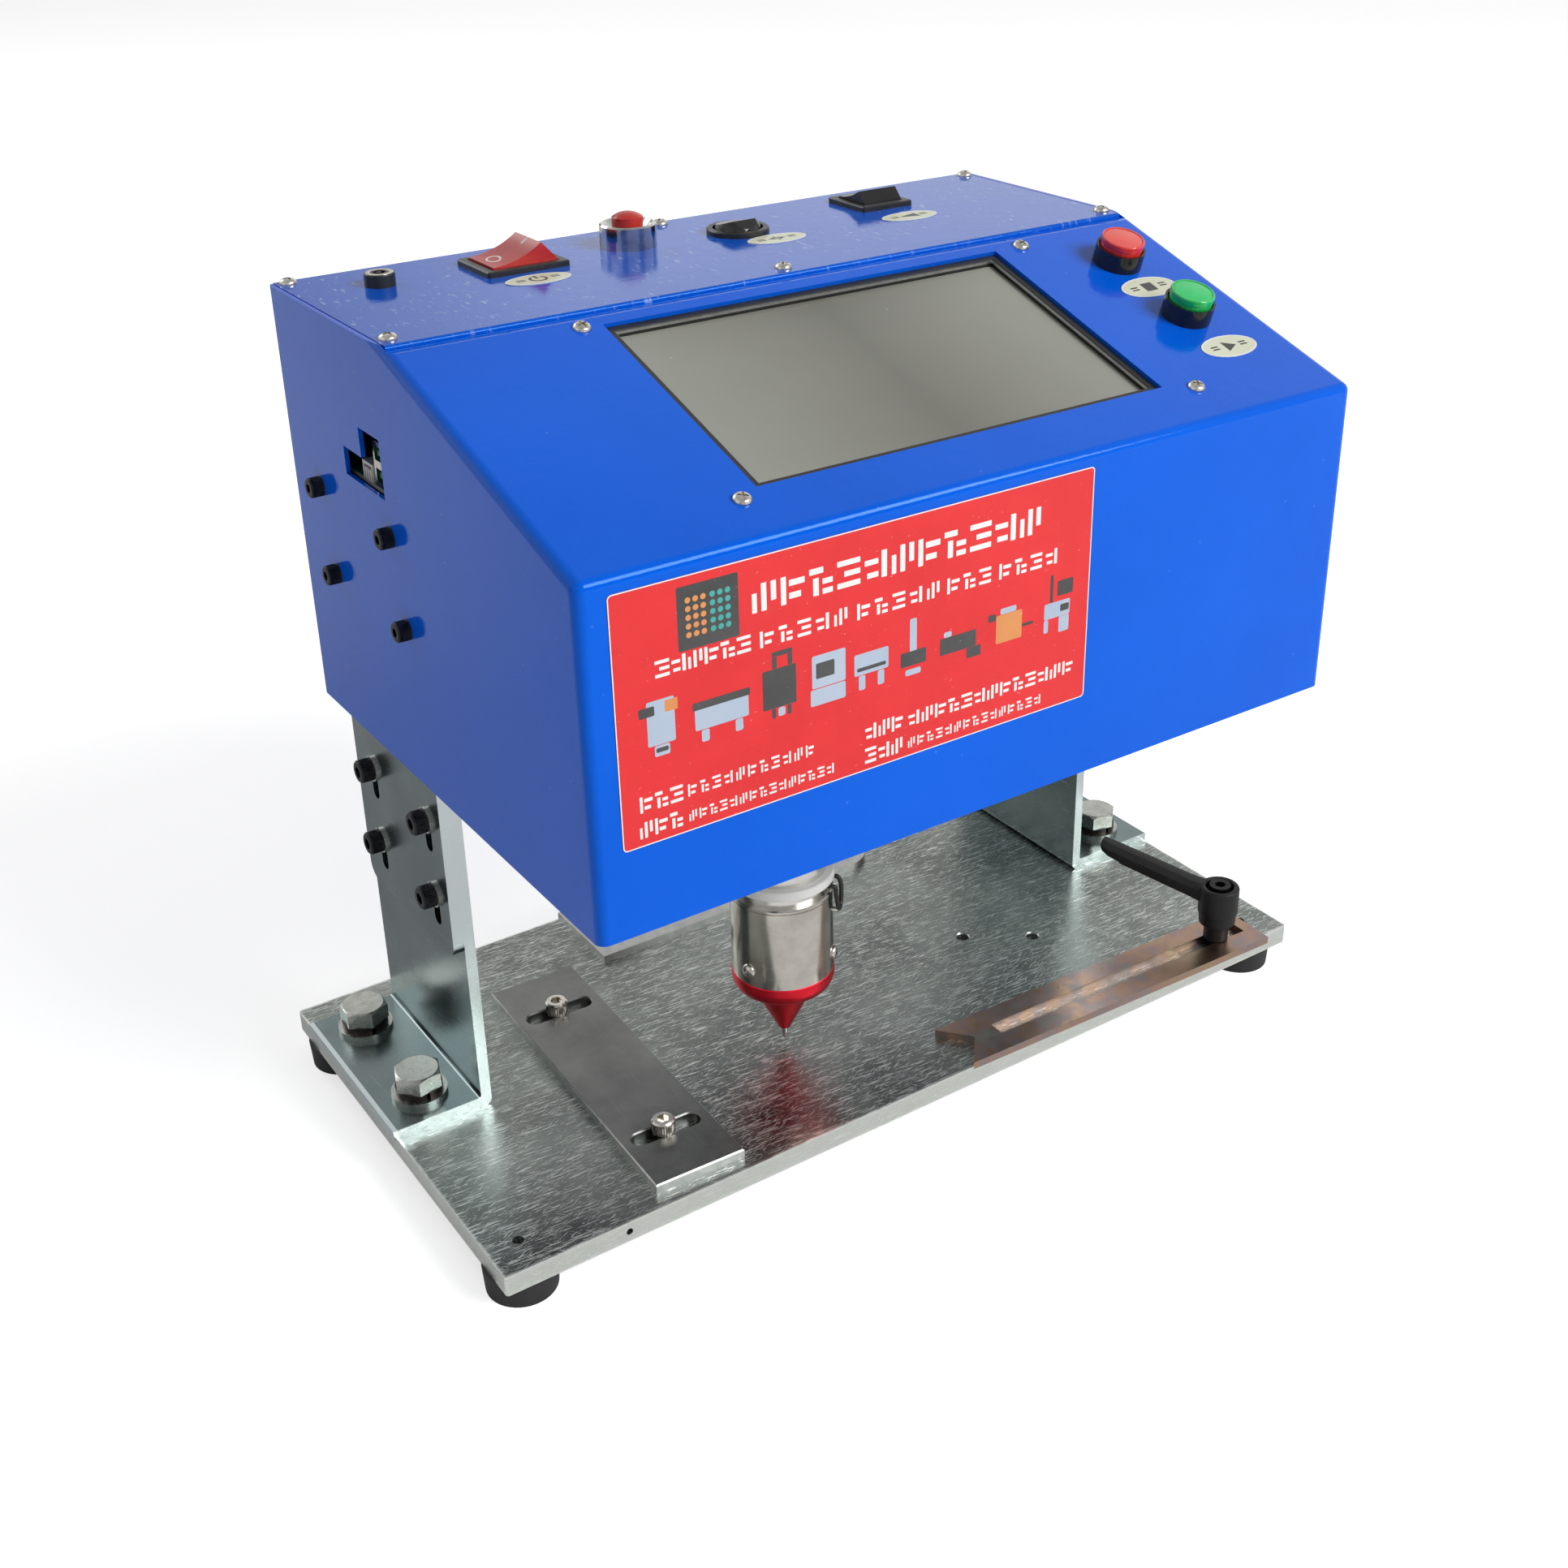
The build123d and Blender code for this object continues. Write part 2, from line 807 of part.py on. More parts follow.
with BuildPart() as enclosure_shell:
    add(cases[0])
    add(cases[1], mode=Mode.SUBTRACT)
    # step for the roof cover, and the opening inside its flange
    with BuildSketch(ground.offset(case_top - wall)):
        with Locations((centre_x, case_back)):
            Rectangle(
                case_width - 2 * wall,
                roof_depth + 2 * wall / slope_ratio,
                align=(Align.CENTER, Align.MAX),
            )
    extrude(amount=wall + cut_over, mode=Mode.SUBTRACT)
    with BuildSketch(ground.offset(flange_under - cut_over)):
        with Locations((centre_x, roof_front + flange_width)):
            Rectangle(
                case_width - 2 * (wall + flange_width),
                hollow_back - roof_front - 2 * flange_width,
                align=(Align.CENTER, Align.MIN),
            )
    extrude(amount=2 * wall + cut_over, mode=Mode.SUBTRACT)
    with BuildSketch(roof.offset(-2 * wall)):
        with Locations(*cover_spots):
            Circle(cover_screw_r + press_gap)
    extrude(amount=wall, mode=Mode.SUBTRACT)
    # screen window, its screws and the two button holes
    with BuildSketch(slope_face):
        with Locations((screen_x, screen_y)):
            Rectangle(screen_width, screen_height)
        with Locations(*screen_screw_spots):
            Circle(cover_screw_r + press_gap)
        with Locations(*key_spots):
            Circle(collar_stem_r + press_gap)
    extrude(amount=-2 * wall, mode=Mode.SUBTRACT)
    # holes for the side screws, both walls at once
    with BuildSketch(sideways.offset(case_left)):
        with Locations(*side_spots):
            Circle(side_screw_r + press_gap)
    extrude(amount=case_width, mode=Mode.SUBTRACT)
    # stepped opening for the computer cable in the left wall
    with BuildSketch(sideways.offset(case_left)):
        with BuildLine():
            Polyline(
                (port_front, port_low),
                (port_front + port_width, port_low),
                (port_front + port_width, port_middle),
                (port_front + port_tall_width, port_middle),
                (port_front + port_tall_width, port_top),
                (port_front, port_top),
                close=True,
            )
        make_face()
    extrude(amount=wall, mode=Mode.SUBTRACT)
enclosure_shell.part.label = "enclosure_shell"
export_step(enclosure_shell.part, "parts/enclosure_shell.step")

# Roof cover, lying in the step of the shell, with its screws

with BuildPart() as top_cover:
    with BuildSketch(roof.offset(-wall)):
        with Locations((case_width / 2, roof_front)):
            Rectangle(
                case_width - 2 * (wall + cover_side_gap),
                roof_depth,
                align=(Align.CENTER, Align.MIN),
            )
    extrude(amount=wall)
    fillet(top_cover.edges().filter_by(Axis.X).group_by(Axis.Z)[-1].sort_by(Axis.Y)[0], cover_edge_r)
    with BuildSketch(roof):
        with Locations(*cover_spots):
            Circle(cover_screw_r + press_gap)
        with Locations((jack_x, jack_y)):
            Circle(jack_stem_r + press_gap)
        with Locations((push_x, push_y)):
            Circle(push_stem_r + press_gap)
        with Locations((round_x, round_y)):
            Circle(round_body_r + press_gap)
        with Locations((power_x, power_y)):
            Rectangle(power_body_width + 2 * press_gap, power_body_depth + 2 * press_gap)
        with Locations((drive_x, drive_y)):
            Rectangle(drive_body_width + 2 * press_gap, drive_body_depth + 2 * press_gap)
    extrude(amount=-wall, mode=Mode.SUBTRACT)
top_cover.part.label = "top_cover"
export_step(top_cover.part, "parts/top_cover.step")

# Pan-head screws with a cross recess: roof cover, then screen

for name, plane, spots in (
    ("cover_screws", roof, cover_spots),
    ("screen_screws", slope_face, screen_screw_spots),
):
    upward = Axis(plane.origin, plane.z_dir)
    with BuildPart() as pan_screws:
        with BuildSketch(plane):
            with Locations(*spots):
                Circle(cover_head_r)
        extrude(amount=cover_head_h)
        fillet(pan_screws.edges().group_by(upward)[-1], cover_head_round)
        with BuildSketch(plane.offset(cover_head_h)):
            with Locations(*spots):
                Rectangle(cross_length, cross_width)
                Rectangle(cross_width, cross_length)
        extrude(amount=-cross_depth, mode=Mode.SUBTRACT)
        with BuildSketch(plane):
            with Locations(*spots):
                Circle(cover_screw_r)
        extrude(amount=-2 * wall - screen_plate_thick)
    pan_screws.part.label = name
    export_step(pan_screws.part, f"parts/{name}.step")

# Socket screws that hold the shell's sides to the hangers

with BuildPart() as side_screws:
    with BuildSketch(sideways.offset(case_left)):
        with Locations(*side_spots):
            Circle(side_screw_r)
    extrude(amount=wall + hanger_thick)
    with BuildSketch(sideways.offset(case_left)):
        with Locations(*side_spots):
            Circle(side_head_r)
    extrude(amount=-side_head_h)
    fillet(side_screws.edges().group_by(Axis.X)[0], socket_edge)
    with BuildSketch(sideways.offset(case_left - side_head_h)):
        with Locations(*side_spots):
            RegularPolygon(side_hex / 2, 6, major_radius=False)
    extrude(amount=side_hex_depth, mode=Mode.SUBTRACT)
    mirror(about=middle)
side_screws.part.label = "side_screws"
export_step(side_screws.part, "parts/side_screws.step")

# Labels: a plain panel on the front and plain ovals beside the controls

with BuildPart() as front_label:
    with BuildSketch(facing.offset(nose_reach)):
        with Locations((case_left + front_label_first, case_bottom + front_label_lift)):
            Rectangle(front_label_width, front_label_height, align=(Align.MIN, Align.MIN))
    extrude(amount=label_thick)
front_label.part.label = "front_label"
export_step(front_label.part, "parts/front_label.step")

with BuildPart() as oval_labels:
    with BuildSketch(roof):
        with Locations(
            (power_x + power_label_shift, roof_label_y),
            (round_x + round_label_shift, roof_label_y),
            (drive_x + drive_label_shift, roof_label_y),
        ):
            Ellipse(oval_long / 2, oval_short / 2)
    extrude(amount=label_thick)
    with BuildSketch(slope_face):
        with Locations(
            (key_x, -slope_label_first),
            (key_x + slope_label_shift, -slope_label_first - slope_label_pitch),
        ):
            Ellipse(oval_long / 2, oval_short / 2)
    extrude(amount=label_thick)
oval_labels.part.label = "oval_labels"
export_step(oval_labels.part, "parts/oval_labels.step")

# Screen: a housing clamped under the slope, its rim in the window, and the glass in the rim

with BuildPart() as screen_housing:
    with BuildSketch(slope_face.offset(-wall)):
        with Locations((screen_screw_x, screen_screw_y)):
            Rectangle(screen_screw_span + 2 * screen_ear, screen_screw_drop + 2 * screen_ear)
    extrude(amount=-screen_plate_thick)
    with BuildSketch(slope_face.offset(-wall)):
        with Locations((screen_x, screen_y)):
            Rectangle(screen_width - 2 * screen_gap, screen_height - 2 * screen_gap)
    extrude(amount=wall - screen_sink)
    with BuildSketch(slope_face.offset(-wall - screen_plate_thick)):
        with Locations((screen_x, screen_y)):
            Rectangle(screen_width - 2 * screen_gap, screen_height - 2 * screen_gap)
    extrude(amount=-screen_body_depth)
    with BuildSketch(slope_face):
        with Locations((screen_x, screen_y)):
            Rectangle(screen_width - 2 * screen_rim, screen_height - 2 * screen_rim)
    extrude(amount=-screen_recess - screen_glass_thick, mode=Mode.SUBTRACT)
    with BuildSketch(slope_face):
        with Locations(*screen_screw_spots):
            Circle(cover_screw_r + press_gap)
    extrude(amount=-wall - screen_plate_thick, mode=Mode.SUBTRACT)
screen_housing.part.label = "screen_housing"
export_step(screen_housing.part, "parts/screen_housing.step")

with BuildPart() as screen_glass:
    with BuildSketch(slope_face.offset(-screen_recess)):
        with Locations((screen_x, screen_y)):
            Rectangle(screen_width - 2 * screen_rim - seam, screen_height - 2 * screen_rim - seam)
    extrude(amount=-screen_glass_thick)
screen_glass.part.label = "screen_glass"
export_step(screen_glass.part, "parts/screen_glass.step")

# Stop and start buttons on the slope: collars with a stem, and sprung caps

with BuildPart() as button_collars:
    with BuildSketch(slope_face):
        with Locations(*key_spots):
            Circle(collar_r)
    extrude(amount=collar_h)
    with BuildSketch(slope_face):
        with Locations(*key_spots):
            Circle(collar_stem_r)
    extrude(amount=-collar_stem_depth)
    with BuildSketch(slope_face.offset(collar_h)):
        with Locations(*key_spots):
            Circle(cap_r + seam)
    extrude(amount=-collar_cup, mode=Mode.SUBTRACT)
    with BuildSketch(slope_face.offset(collar_h)):
        with Locations(*key_spots):
            Circle(key_bore_r)
    extrude(amount=-collar_h - key_bore_depth, mode=Mode.SUBTRACT)
button_collars.part.label = "button_collars"
export_step(button_collars.part, "parts/button_collars.step")

for name, spot in zip(("stop_button", "start_button"), key_spots):
    with BuildPart() as cap:
        with BuildSketch(slope_face.offset(cap_h)):
            with Locations(spot):
                Circle(cap_r)
        extrude(amount=-cap_length)
        chamfer(cap.edges().group_by(slope_up)[-1], cap_rim)
        with BuildSketch(slope_face.offset(cap_h - cap_length)):
            with Locations(spot):
                Circle(key_bore_r - run_gap)
        extrude(amount=-key_stem_length)
    cap.part.label = name
    export_step(cap.part, f"parts/{name}.step")

# DC jack on the roof: insulating body with its centre pin, and a nickel ring on top

with BuildPart() as dc_jack:
    with BuildSketch(roof.offset(-jack_depth)):
        with Locations((jack_x, jack_y)):
            Circle(jack_stem_r)
    extrude(amount=jack_depth)
    with BuildSketch(roof):
        with Locations((jack_x, jack_y)):
            Circle(jack_r)
    extrude(amount=jack_h)
    with BuildSketch(roof.offset(jack_h)):
        with Locations((jack_x, jack_y)):
            Circle(jack_bore_r)
            Circle(jack_pin_r, mode=Mode.SUBTRACT)
    extrude(amount=-jack_bore_depth, mode=Mode.SUBTRACT)
    fillet(
        dc_jack.edges().filter_by(GeomType.CIRCLE).group_by(Axis.Z)[-1].sort_by(SortBy.LENGTH)[-1],
        jack_ring_h / 2,
    )
dc_jack.part.label = "dc_jack"
export_step(dc_jack.part, "parts/dc_jack.step")

# Rocker switches: a bezel with its body, and a rocker whose one end stands up
# The rocker's outline is drawn across its pivot: the raised end is at positive u.


def rocker_points(half, peak):
    # every point but the dip stays inside a circle of this half length about the pivot
    end = math.sqrt(half**2 - (rocker_low + rocker_pivot_drop) ** 2)
    ridge = half * ridge_share
    keel = half * keel_share
    return [
        (-end, rocker_low),
        (-ridge * dip_place_share, rocker_low + (peak - rocker_low) * dip_share),
        (ridge, peak),
        (end, rocker_low),
        (half, -rocker_pivot_drop),
        (keel, -rocker_keel),
        (-keel, -rocker_keel),
        (-half, -rocker_pivot_drop),
    ]


switches = (
    ("power", power_x, power_y, power_width, power_depth, power_peak, -1),
    ("drive", drive_x, drive_y, drive_width, drive_depth, drive_peak, 1),
    ("round", round_x, round_y, 2 * round_r, 2 * round_r, round_peak, 1),
)

for name, x, y, width, depth, peak, turn in switches:
    is_round = name == "round"
    along = width if turn < 0 else depth
    across = depth if turn < 0 else width
    rim = round_rim if is_round else bezel_rim
    half = along / 2 - rim - rocker_gap
    breadth = across - 2 * (rim + rocker_gap)
    spot = Plane(roof.location * Location((x, y, 0)))
    # cross section plane: u runs to the raised end, v up, and the normal lies along the pivot
    if turn < 0:
        swing = Plane(spot.origin, x_dir=(1, 0, 0), z_dir=(0, -1, 0))
    else:
        swing = Plane(spot.origin, x_dir=(0, -1, 0), z_dir=(-1, 0, 0))
    with BuildPart() as housing:
        with BuildSketch(spot):
            if is_round:
                Circle(round_r)
            else:
                RectangleRounded(width, depth, bezel_corner_r)
        extrude(amount=bezel_h)
        chamfer(housing.edges().group_by(Axis.Z)[-1], bezel_edge)
        with BuildSketch(spot):
            if is_round:
                Circle(round_body_r)
            else:
                Rectangle(width - 2 * rim + 2 * switch_wall, depth - 2 * rim + 2 * switch_wall)
        extrude(amount=-switch_body_depth)
        with BuildSketch(spot.offset(bezel_h)):
            if is_round:
                Circle(round_r - rim)
            else:
                Rectangle(width - 2 * rim, depth - 2 * rim)
        extrude(amount=-bezel_h - switch_cavity, mode=Mode.SUBTRACT)
        with BuildSketch(swing):
            with Locations((0, -rocker_pivot_drop)):
                Circle(rocker_pin_r + run_gap)
        extrude(amount=breadth / 2 + rocker_gap + pin_bite + seam, both=True, mode=Mode.SUBTRACT)
    housing.part.label = f"{name}_switch_housing"
    export_step(housing.part, f"parts/{name}_switch_housing.step")
    with BuildPart() as rocker:
        with BuildSketch(swing):
            with BuildLine():
                points = rocker_points(half, peak)
                ThreePointArc(points[0], points[1], points[2])
                Polyline(*points[2:], points[0])
            make_face()
        extrude(amount=breadth / 2, both=True)
        if is_round:
            with Locations(spot.offset(-rocker_pivot_drop).location):
                Sphere(half, mode=Mode.INTERSECT)
        with BuildSketch(swing):
            with Locations((0, -rocker_pivot_drop)):
                Circle(rocker_pin_r)
        extrude(amount=breadth / 2 + rocker_gap + pin_bite, both=True)
    rocker.part.label = f"{name}_rocker"
    export_step(rocker.part, f"parts/{name}_rocker.step")

# Small push button: chrome ring with a dished mouth, and a sprung cap in it

push_spot = Plane(roof.location * Location((push_x, push_y, 0)))
push_side = Plane(push_spot.origin, x_dir=(1, 0, 0), z_dir=(0, -1, 0))
push_axis = Axis(push_spot.origin, push_spot.z_dir)

with BuildPart() as push_ring:
    with BuildSketch(push_side):
        with BuildLine():
            Polyline(
                (0, -push_stem_depth),
                (push_stem_r, -push_stem_depth),
                (push_stem_r, 0),
                (push_ring_r, 0),
                (push_ring_r, push_ring_h - push_edge),
                (push_ring_r - push_edge, push_ring_h),
                (push_cone_r, push_ring_h),
                (push_bore, push_ring_h - push_cone_depth),
                (push_bore, -push_bore_depth),
                (0, -push_bore_depth),
                close=True,
            )
        make_face()
    revolve(axis=push_axis)
push_ring.part.label = "push_ring"
export_step(push_ring.part, "parts/push_ring.step")

with BuildPart() as push_button:
    with BuildSketch(push_spot.offset(push_ring_h + push_cap_rise)):
        Circle(push_cap_r)
    extrude(amount=-push_cap_length)
    with BuildSketch(push_side):
        with BuildLine():
            crown_z = push_ring_h + push_cap_rise
            crown = Line((0, crown_z + push_cap_dome), (0, crown_z))
            rim_line = Line(crown @ 1, (push_cap_r, crown_z))
            TangentArc(crown @ 0, rim_line @ 1, tangent=(1, 0))
        make_face()
    revolve(axis=push_axis)
push_button.part.label = "push_button"
export_step(push_button.part, "parts/push_button.step")

# Control board on posts, with its USB stack and pin connector at the left wall's opening

board_top = port_low
board_under = board_top - board_thick
board_left = left_hang + board_wall_gap
board_back = hollow_back - board_back_gap
board_front = port_front - board_front_gap
board_depth = board_back - board_front
usb_y = port_front + usb_inset + usb_width / 2
header_y = port_front + port_width - header_margin - header_width / 2
stage_bottom = case_bottom + stage_gap
stage_top = stage_bottom + stage_thick
post_spots = [
    (board_left + post_inset, board_front + post_inset),
    (board_left + post_inset, board_back - post_inset),
    (board_left + board_width / 2, board_back - post_inset),
    (board_left + board_width - post_inset, board_back - post_inset),
]

mouth_spots = [(usb_y, board_top + usb_height / 2 + row * usb_mouth_pitch / 2) for row in (-1, 1)]

with BuildPart() as control_board:
    with BuildSketch(ground.offset(board_under)):
        with Locations((board_left, board_front)):
            Rectangle(board_width, board_depth, align=(Align.MIN, Align.MIN))
    extrude(amount=board_thick)
    with BuildSketch(ground.offset(board_top)):
        with Locations((board_left + board_width / 2, board_front + board_depth / 2)):
            with GridLocations(board_width / 3, board_depth / 2, 2, 2):
                Rectangle(chip_size, chip_size)
    extrude(amount=chip_h)
    with BuildSketch(ground.offset(board_top)):
        with Locations((board_left, usb_y)):
            Rectangle(usb_length, usb_width, align=(Align.MIN, Align.CENTER))
    extrude(amount=usb_height)
    with BuildSketch(sideways.offset(board_left)):
        with Locations(*mouth_spots):
            Rectangle(usb_mouth_width, usb_mouth_height)
    extrude(amount=usb_mouth_depth, mode=Mode.SUBTRACT)
    with BuildSketch(sideways.offset(board_left + usb_mouth_depth)):
        with Locations(*mouth_spots):
            Rectangle(usb_mouth_width - usb_mouth_height / 2, usb_tongue)
    extrude(amount=usb_inset - usb_mouth_depth)
    with BuildSketch(sideways.offset(board_left)):
        with Locations((header_y, board_top + header_height / 2)):
            Rectangle(header_width, header_height)
            Rectangle(
                header_width - 2 * header_wall,
                header_height - 2 * header_wall,
                mode=Mode.SUBTRACT,
            )
    extrude(amount=header_length)
    with BuildSketch(sideways.offset(board_left + header_length)):
        with Locations((header_y, board_top + header_height / 2)):
            Rectangle(header_width, header_height)
    extrude(amount=header_wall)
control_board.part.label = "control_board"
export_step(control_board.part, "parts/control_board.step")

with BuildPart() as board_posts:
    with BuildSketch(ground.offset(stage_top)):
        with Locations(*post_spots):
            RegularPolygon(post_r, 6, major_radius=False)
    extrude(amount=board_under - stage_top)
board_posts.part.label = "board_posts"
export_step(board_posts.part, "parts/board_posts.step")

# Stage frame: floor plate of the enclosure with its window, and the lugs of the Y rails

y_rail_left = left_upright + y_rail_inset
y_rail_right = right_outer - y_rail_inset
y_screw_x = y_rail_left + y_screw_shift
window_first = bracket_inset + window_margin
window_width = bracket_span - 2 * window_margin
y_lug_front = hollow_front + lug_front_gap
y_lug_back = hollow_back - motor_back_gap - motor_length - lug_thick
y_lug_end = y_lug_back + lug_thick
lug_top = y_rail_z + y_rail_r + lug_cap
motor_top = y_screw_z + motor_size / 2

with BuildPart() as stage_frame:
    with BuildSketch(ground.offset(stage_bottom)):
        with Locations((left_upright, hollow_front + stage_rim)):
            Rectangle(
                right_outer - left_upright,
                hollow_back - hollow_front - 2 * stage_rim,
                align=(Align.MIN, Align.MIN),
            )
        with Locations((window_first, window_front)):
            Rectangle(window_width, window_depth, align=(Align.MIN, Align.MIN), mode=Mode.SUBTRACT)
    extrude(amount=stage_thick)
    with BuildSketch(ground.offset(stage_top)):
        for lug_y in (y_lug_front, y_lug_back):
            with Locations((y_rail_right, lug_y)):
                Rectangle(lug_width, lug_thick, align=(Align.CENTER, Align.MIN))
    extrude(amount=lug_top - stage_top)
    with BuildSketch(ground.offset(stage_top)):
        for lug_y in (y_lug_front, y_lug_back):
            with Locations((y_rail_left - lug_width / 2, lug_y)):
                Rectangle(
                    lug_width / 2 + y_screw_shift + motor_size / 2,
                    lug_thick,
                    align=(Align.MIN, Align.MIN),
                )
    extrude(amount=motor_top - stage_top)
    with BuildSketch(facing.offset(-y_lug_front)):
        with Locations((y_rail_left, y_rail_z), (y_rail_right, y_rail_z)):
            Circle(y_rail_r + press_gap)
        with Locations((y_screw_x, y_screw_z)):
            Circle(y_screw_r + run_gap)
    extrude(amount=y_lug_front - y_lug_end, mode=Mode.SUBTRACT)
stage_frame.part.label = "stage_frame"
export_step(stage_frame.part, "parts/stage_frame.step")

with BuildPart() as y_rails:
    with BuildSketch(facing.offset(-y_lug_front)):
        with Locations((y_rail_left, y_rail_z), (y_rail_right, y_rail_z)):
            Circle(y_rail_r)
    extrude(amount=y_lug_front - y_lug_end)
y_rails.part.label = "y_rails"
export_step(y_rails.part, "parts/y_rails.step")

with BuildPart() as y_lead_screw:
    with BuildSketch(facing.offset(-y_lug_front)):
        with Locations((y_screw_x, y_screw_z)):
            Circle(y_screw_r)
    extrude(amount=y_lug_front - y_lug_end + seam)
y_lead_screw.part.label = "y_lead_screw"
export_step(y_lead_screw.part, "parts/y_lead_screw.step")

with BuildPart() as y_motor:
    with BuildSketch(facing.offset(-y_lug_end)):
        with Locations((y_screw_x, y_screw_z)):
            RectangleRounded(motor_size, motor_size, motor_corner)
    extrude(amount=-motor_length)
y_motor.part.label = "y_motor"
export_step(y_motor.part, "parts/y_motor.step")

# Y carriage: plate on two bearing blocks, with the end plates of the X rails

carriage_front = head_y - carriage_depth / 2
carriage_top = carriage_z + carriage_thick
bearing_low = y_rail_z - bearing_drop
end_plate_x = bracket_inset + end_plate_inset
carriage_window_first = bracket_inset + carriage_window_inset
carriage_window_width = bracket_span - carriage_window_inset - carriage_window_margin
far_plate_x = y_rail_right - bearing_side
carriage_end = y_rail_right + bearing_side
carriage_start = y_rail_left - bearing_side
x_rail_spots = [(head_y - x_rail_pitch / 2, x_rail_z), (head_y + x_rail_pitch / 2, x_rail_z)]
x_screw_y = head_y + x_rail_pitch / 2

with BuildPart() as y_carriage:
    with BuildSketch(ground.offset(carriage_z)):
        with Locations((carriage_start, carriage_front)):
            Rectangle(carriage_end - carriage_start, carriage_depth, align=(Align.MIN, Align.MIN))
        with Locations((carriage_window_first, head_y)):
            Rectangle(
                carriage_window_width,
                carriage_window_depth,
                align=(Align.MIN, Align.CENTER),
                mode=Mode.SUBTRACT,
            )
    extrude(amount=carriage_thick)
    with BuildSketch(ground.offset(bearing_low)):
        with Locations((carriage_start, head_y)):
            Rectangle(
                y_screw_x + y_screw_r + bearing_wall - carriage_start,
                bearing_length,
                align=(Align.MIN, Align.CENTER),
            )
        with Locations((y_rail_right, head_y)):
            Rectangle(2 * bearing_side, bearing_length)
    extrude(amount=carriage_z - bearing_low)
    with BuildSketch(facing.offset(-carriage_front)):
        with Locations((y_rail_left, y_rail_z), (y_rail_right, y_rail_z)):
            Circle(y_rail_r + run_gap)
        with Locations((y_screw_x, y_screw_z)):
            Circle(y_screw_r + run_gap)
    extrude(amount=-carriage_depth, mode=Mode.SUBTRACT)
    with BuildSketch(ground.offset(carriage_top)):
        with Locations((end_plate_x, carriage_front)):
            Rectangle(end_plate_thick, carriage_depth, align=(Align.MIN, Align.MIN))
    extrude(amount=end_plate_top - carriage_top)
    with BuildSketch(ground.offset(end_plate_step)):
        with Locations((end_plate_x, x_screw_y)):
            Rectangle(end_plate_thick, motor_size, align=(Align.MIN, Align.CENTER))
    extrude(amount=end_plate_top - end_plate_step)
    with BuildSketch(ground.offset(carriage_top)):
        with Locations((far_plate_x, carriage_front)):
            Rectangle(far_plate_thick, carriage_depth, align=(Align.MIN, Align.MIN))
    extrude(amount=far_plate_top - carriage_top)
    with BuildSketch(sideways.offset(end_plate_x)):
        with Locations(*x_rail_spots):
            Circle(x_rail_r + press_gap)
        with Locations((x_screw_y, x_screw_z)):
            Circle(x_rail_r + run_gap)
    extrude(amount=carriage_end - end_plate_x, mode=Mode.SUBTRACT)
y_carriage.part.label = "y_carriage"
export_step(y_carriage.part, "parts/y_carriage.step")

with BuildPart() as x_rails:
    with BuildSketch(sideways.offset(end_plate_x)):
        with Locations(*x_rail_spots):
            Circle(x_rail_r)
    extrude(amount=far_plate_x + far_plate_thick - end_plate_x)
x_rails.part.label = "x_rails"
export_step(x_rails.part, "parts/x_rails.step")

with BuildPart() as x_lead_screw:
    with BuildSketch(sideways.offset(end_plate_x + seam)):
        with Locations((x_screw_y, x_screw_z)):
            Circle(x_rail_r)
    extrude(amount=far_plate_x + far_plate_thick - end_plate_x - seam)
x_lead_screw.part.label = "x_lead_screw"
export_step(x_lead_screw.part, "parts/x_lead_screw.step")

with BuildPart() as x_motor:
    with BuildSketch(sideways.offset(end_plate_x)):
        with Locations((x_screw_y, x_screw_z)):
            RectangleRounded(motor_size, motor_size, motor_corner)
    extrude(amount=-motor_length)
x_motor.part.label = "x_motor"
export_step(x_motor.part, "parts/x_motor.step")

# X carriage: a block on the X rails that carries the head's tube

slider_bottom = carriage_top + slider_gap
slider_top = slider_bottom + slider_height

with BuildPart() as x_carriage:
    with BuildSketch(ground.offset(slider_bottom)):
        with Locations((head_x, head_y)):
            Rectangle(slider_length, slider_depth)
            Circle(tube_r + press_gap, mode=Mode.SUBTRACT)
    extrude(amount=slider_top - slider_bottom)
    with BuildSketch(sideways.offset(head_x)):
        with Locations(*x_rail_spots):
            Circle(x_rail_r + run_gap)
        with Locations((x_screw_y, x_screw_z)):
            Circle(x_rail_r + run_gap)
    extrude(amount=slider_length / 2, both=True, mode=Mode.SUBTRACT)
x_carriage.part.label = "x_carriage"
export_step(x_carriage.part, "parts/x_carriage.step")

# Marking head, turned pieces about one upright axis

head = Plane(ground.location * Location((head_x, head_y, 0)))
head_side = Plane(head.origin, x_dir=(1, 0, 0), z_dir=(0, -1, 0))
head_axis = Axis(head.origin, head.z_dir)
ring_top_z = ring_bottom_z + ring_height
floor_top_z = ring_top_z + barrel_floor
barrel_top_z = ring_top_z + barrel_height
tube_bottom_z = barrel_top_z - tube_seat
band_bottom_z = barrel_top_z + band_gap
pin_bore_r = pin_r + run_gap

with BuildPart() as head_tube:
    with BuildSketch(head.offset(tube_bottom_z)):
        Circle(tube_r)
        Circle(tube_bore_r, mode=Mode.SUBTRACT)
    extrude(amount=tube_top_z - tube_bottom_z)
head_tube.part.label = "head_tube"
export_step(head_tube.part, "parts/head_tube.step")

with BuildPart() as nylon_band:
    with BuildSketch(head.offset(band_bottom_z)):
        Circle(band_r)
        Circle(tube_r + press_gap, mode=Mode.SUBTRACT)
    extrude(amount=band_height)
    band_rims = nylon_band.edges().filter_by(GeomType.CIRCLE).filter_by(
        lambda rim: math.isclose(rim.radius, band_r)
    )
    fillet(band_rims, band_edge_r)
nylon_band.part.label = "nylon_band"
export_step(nylon_band.part, "parts/nylon_band.step")

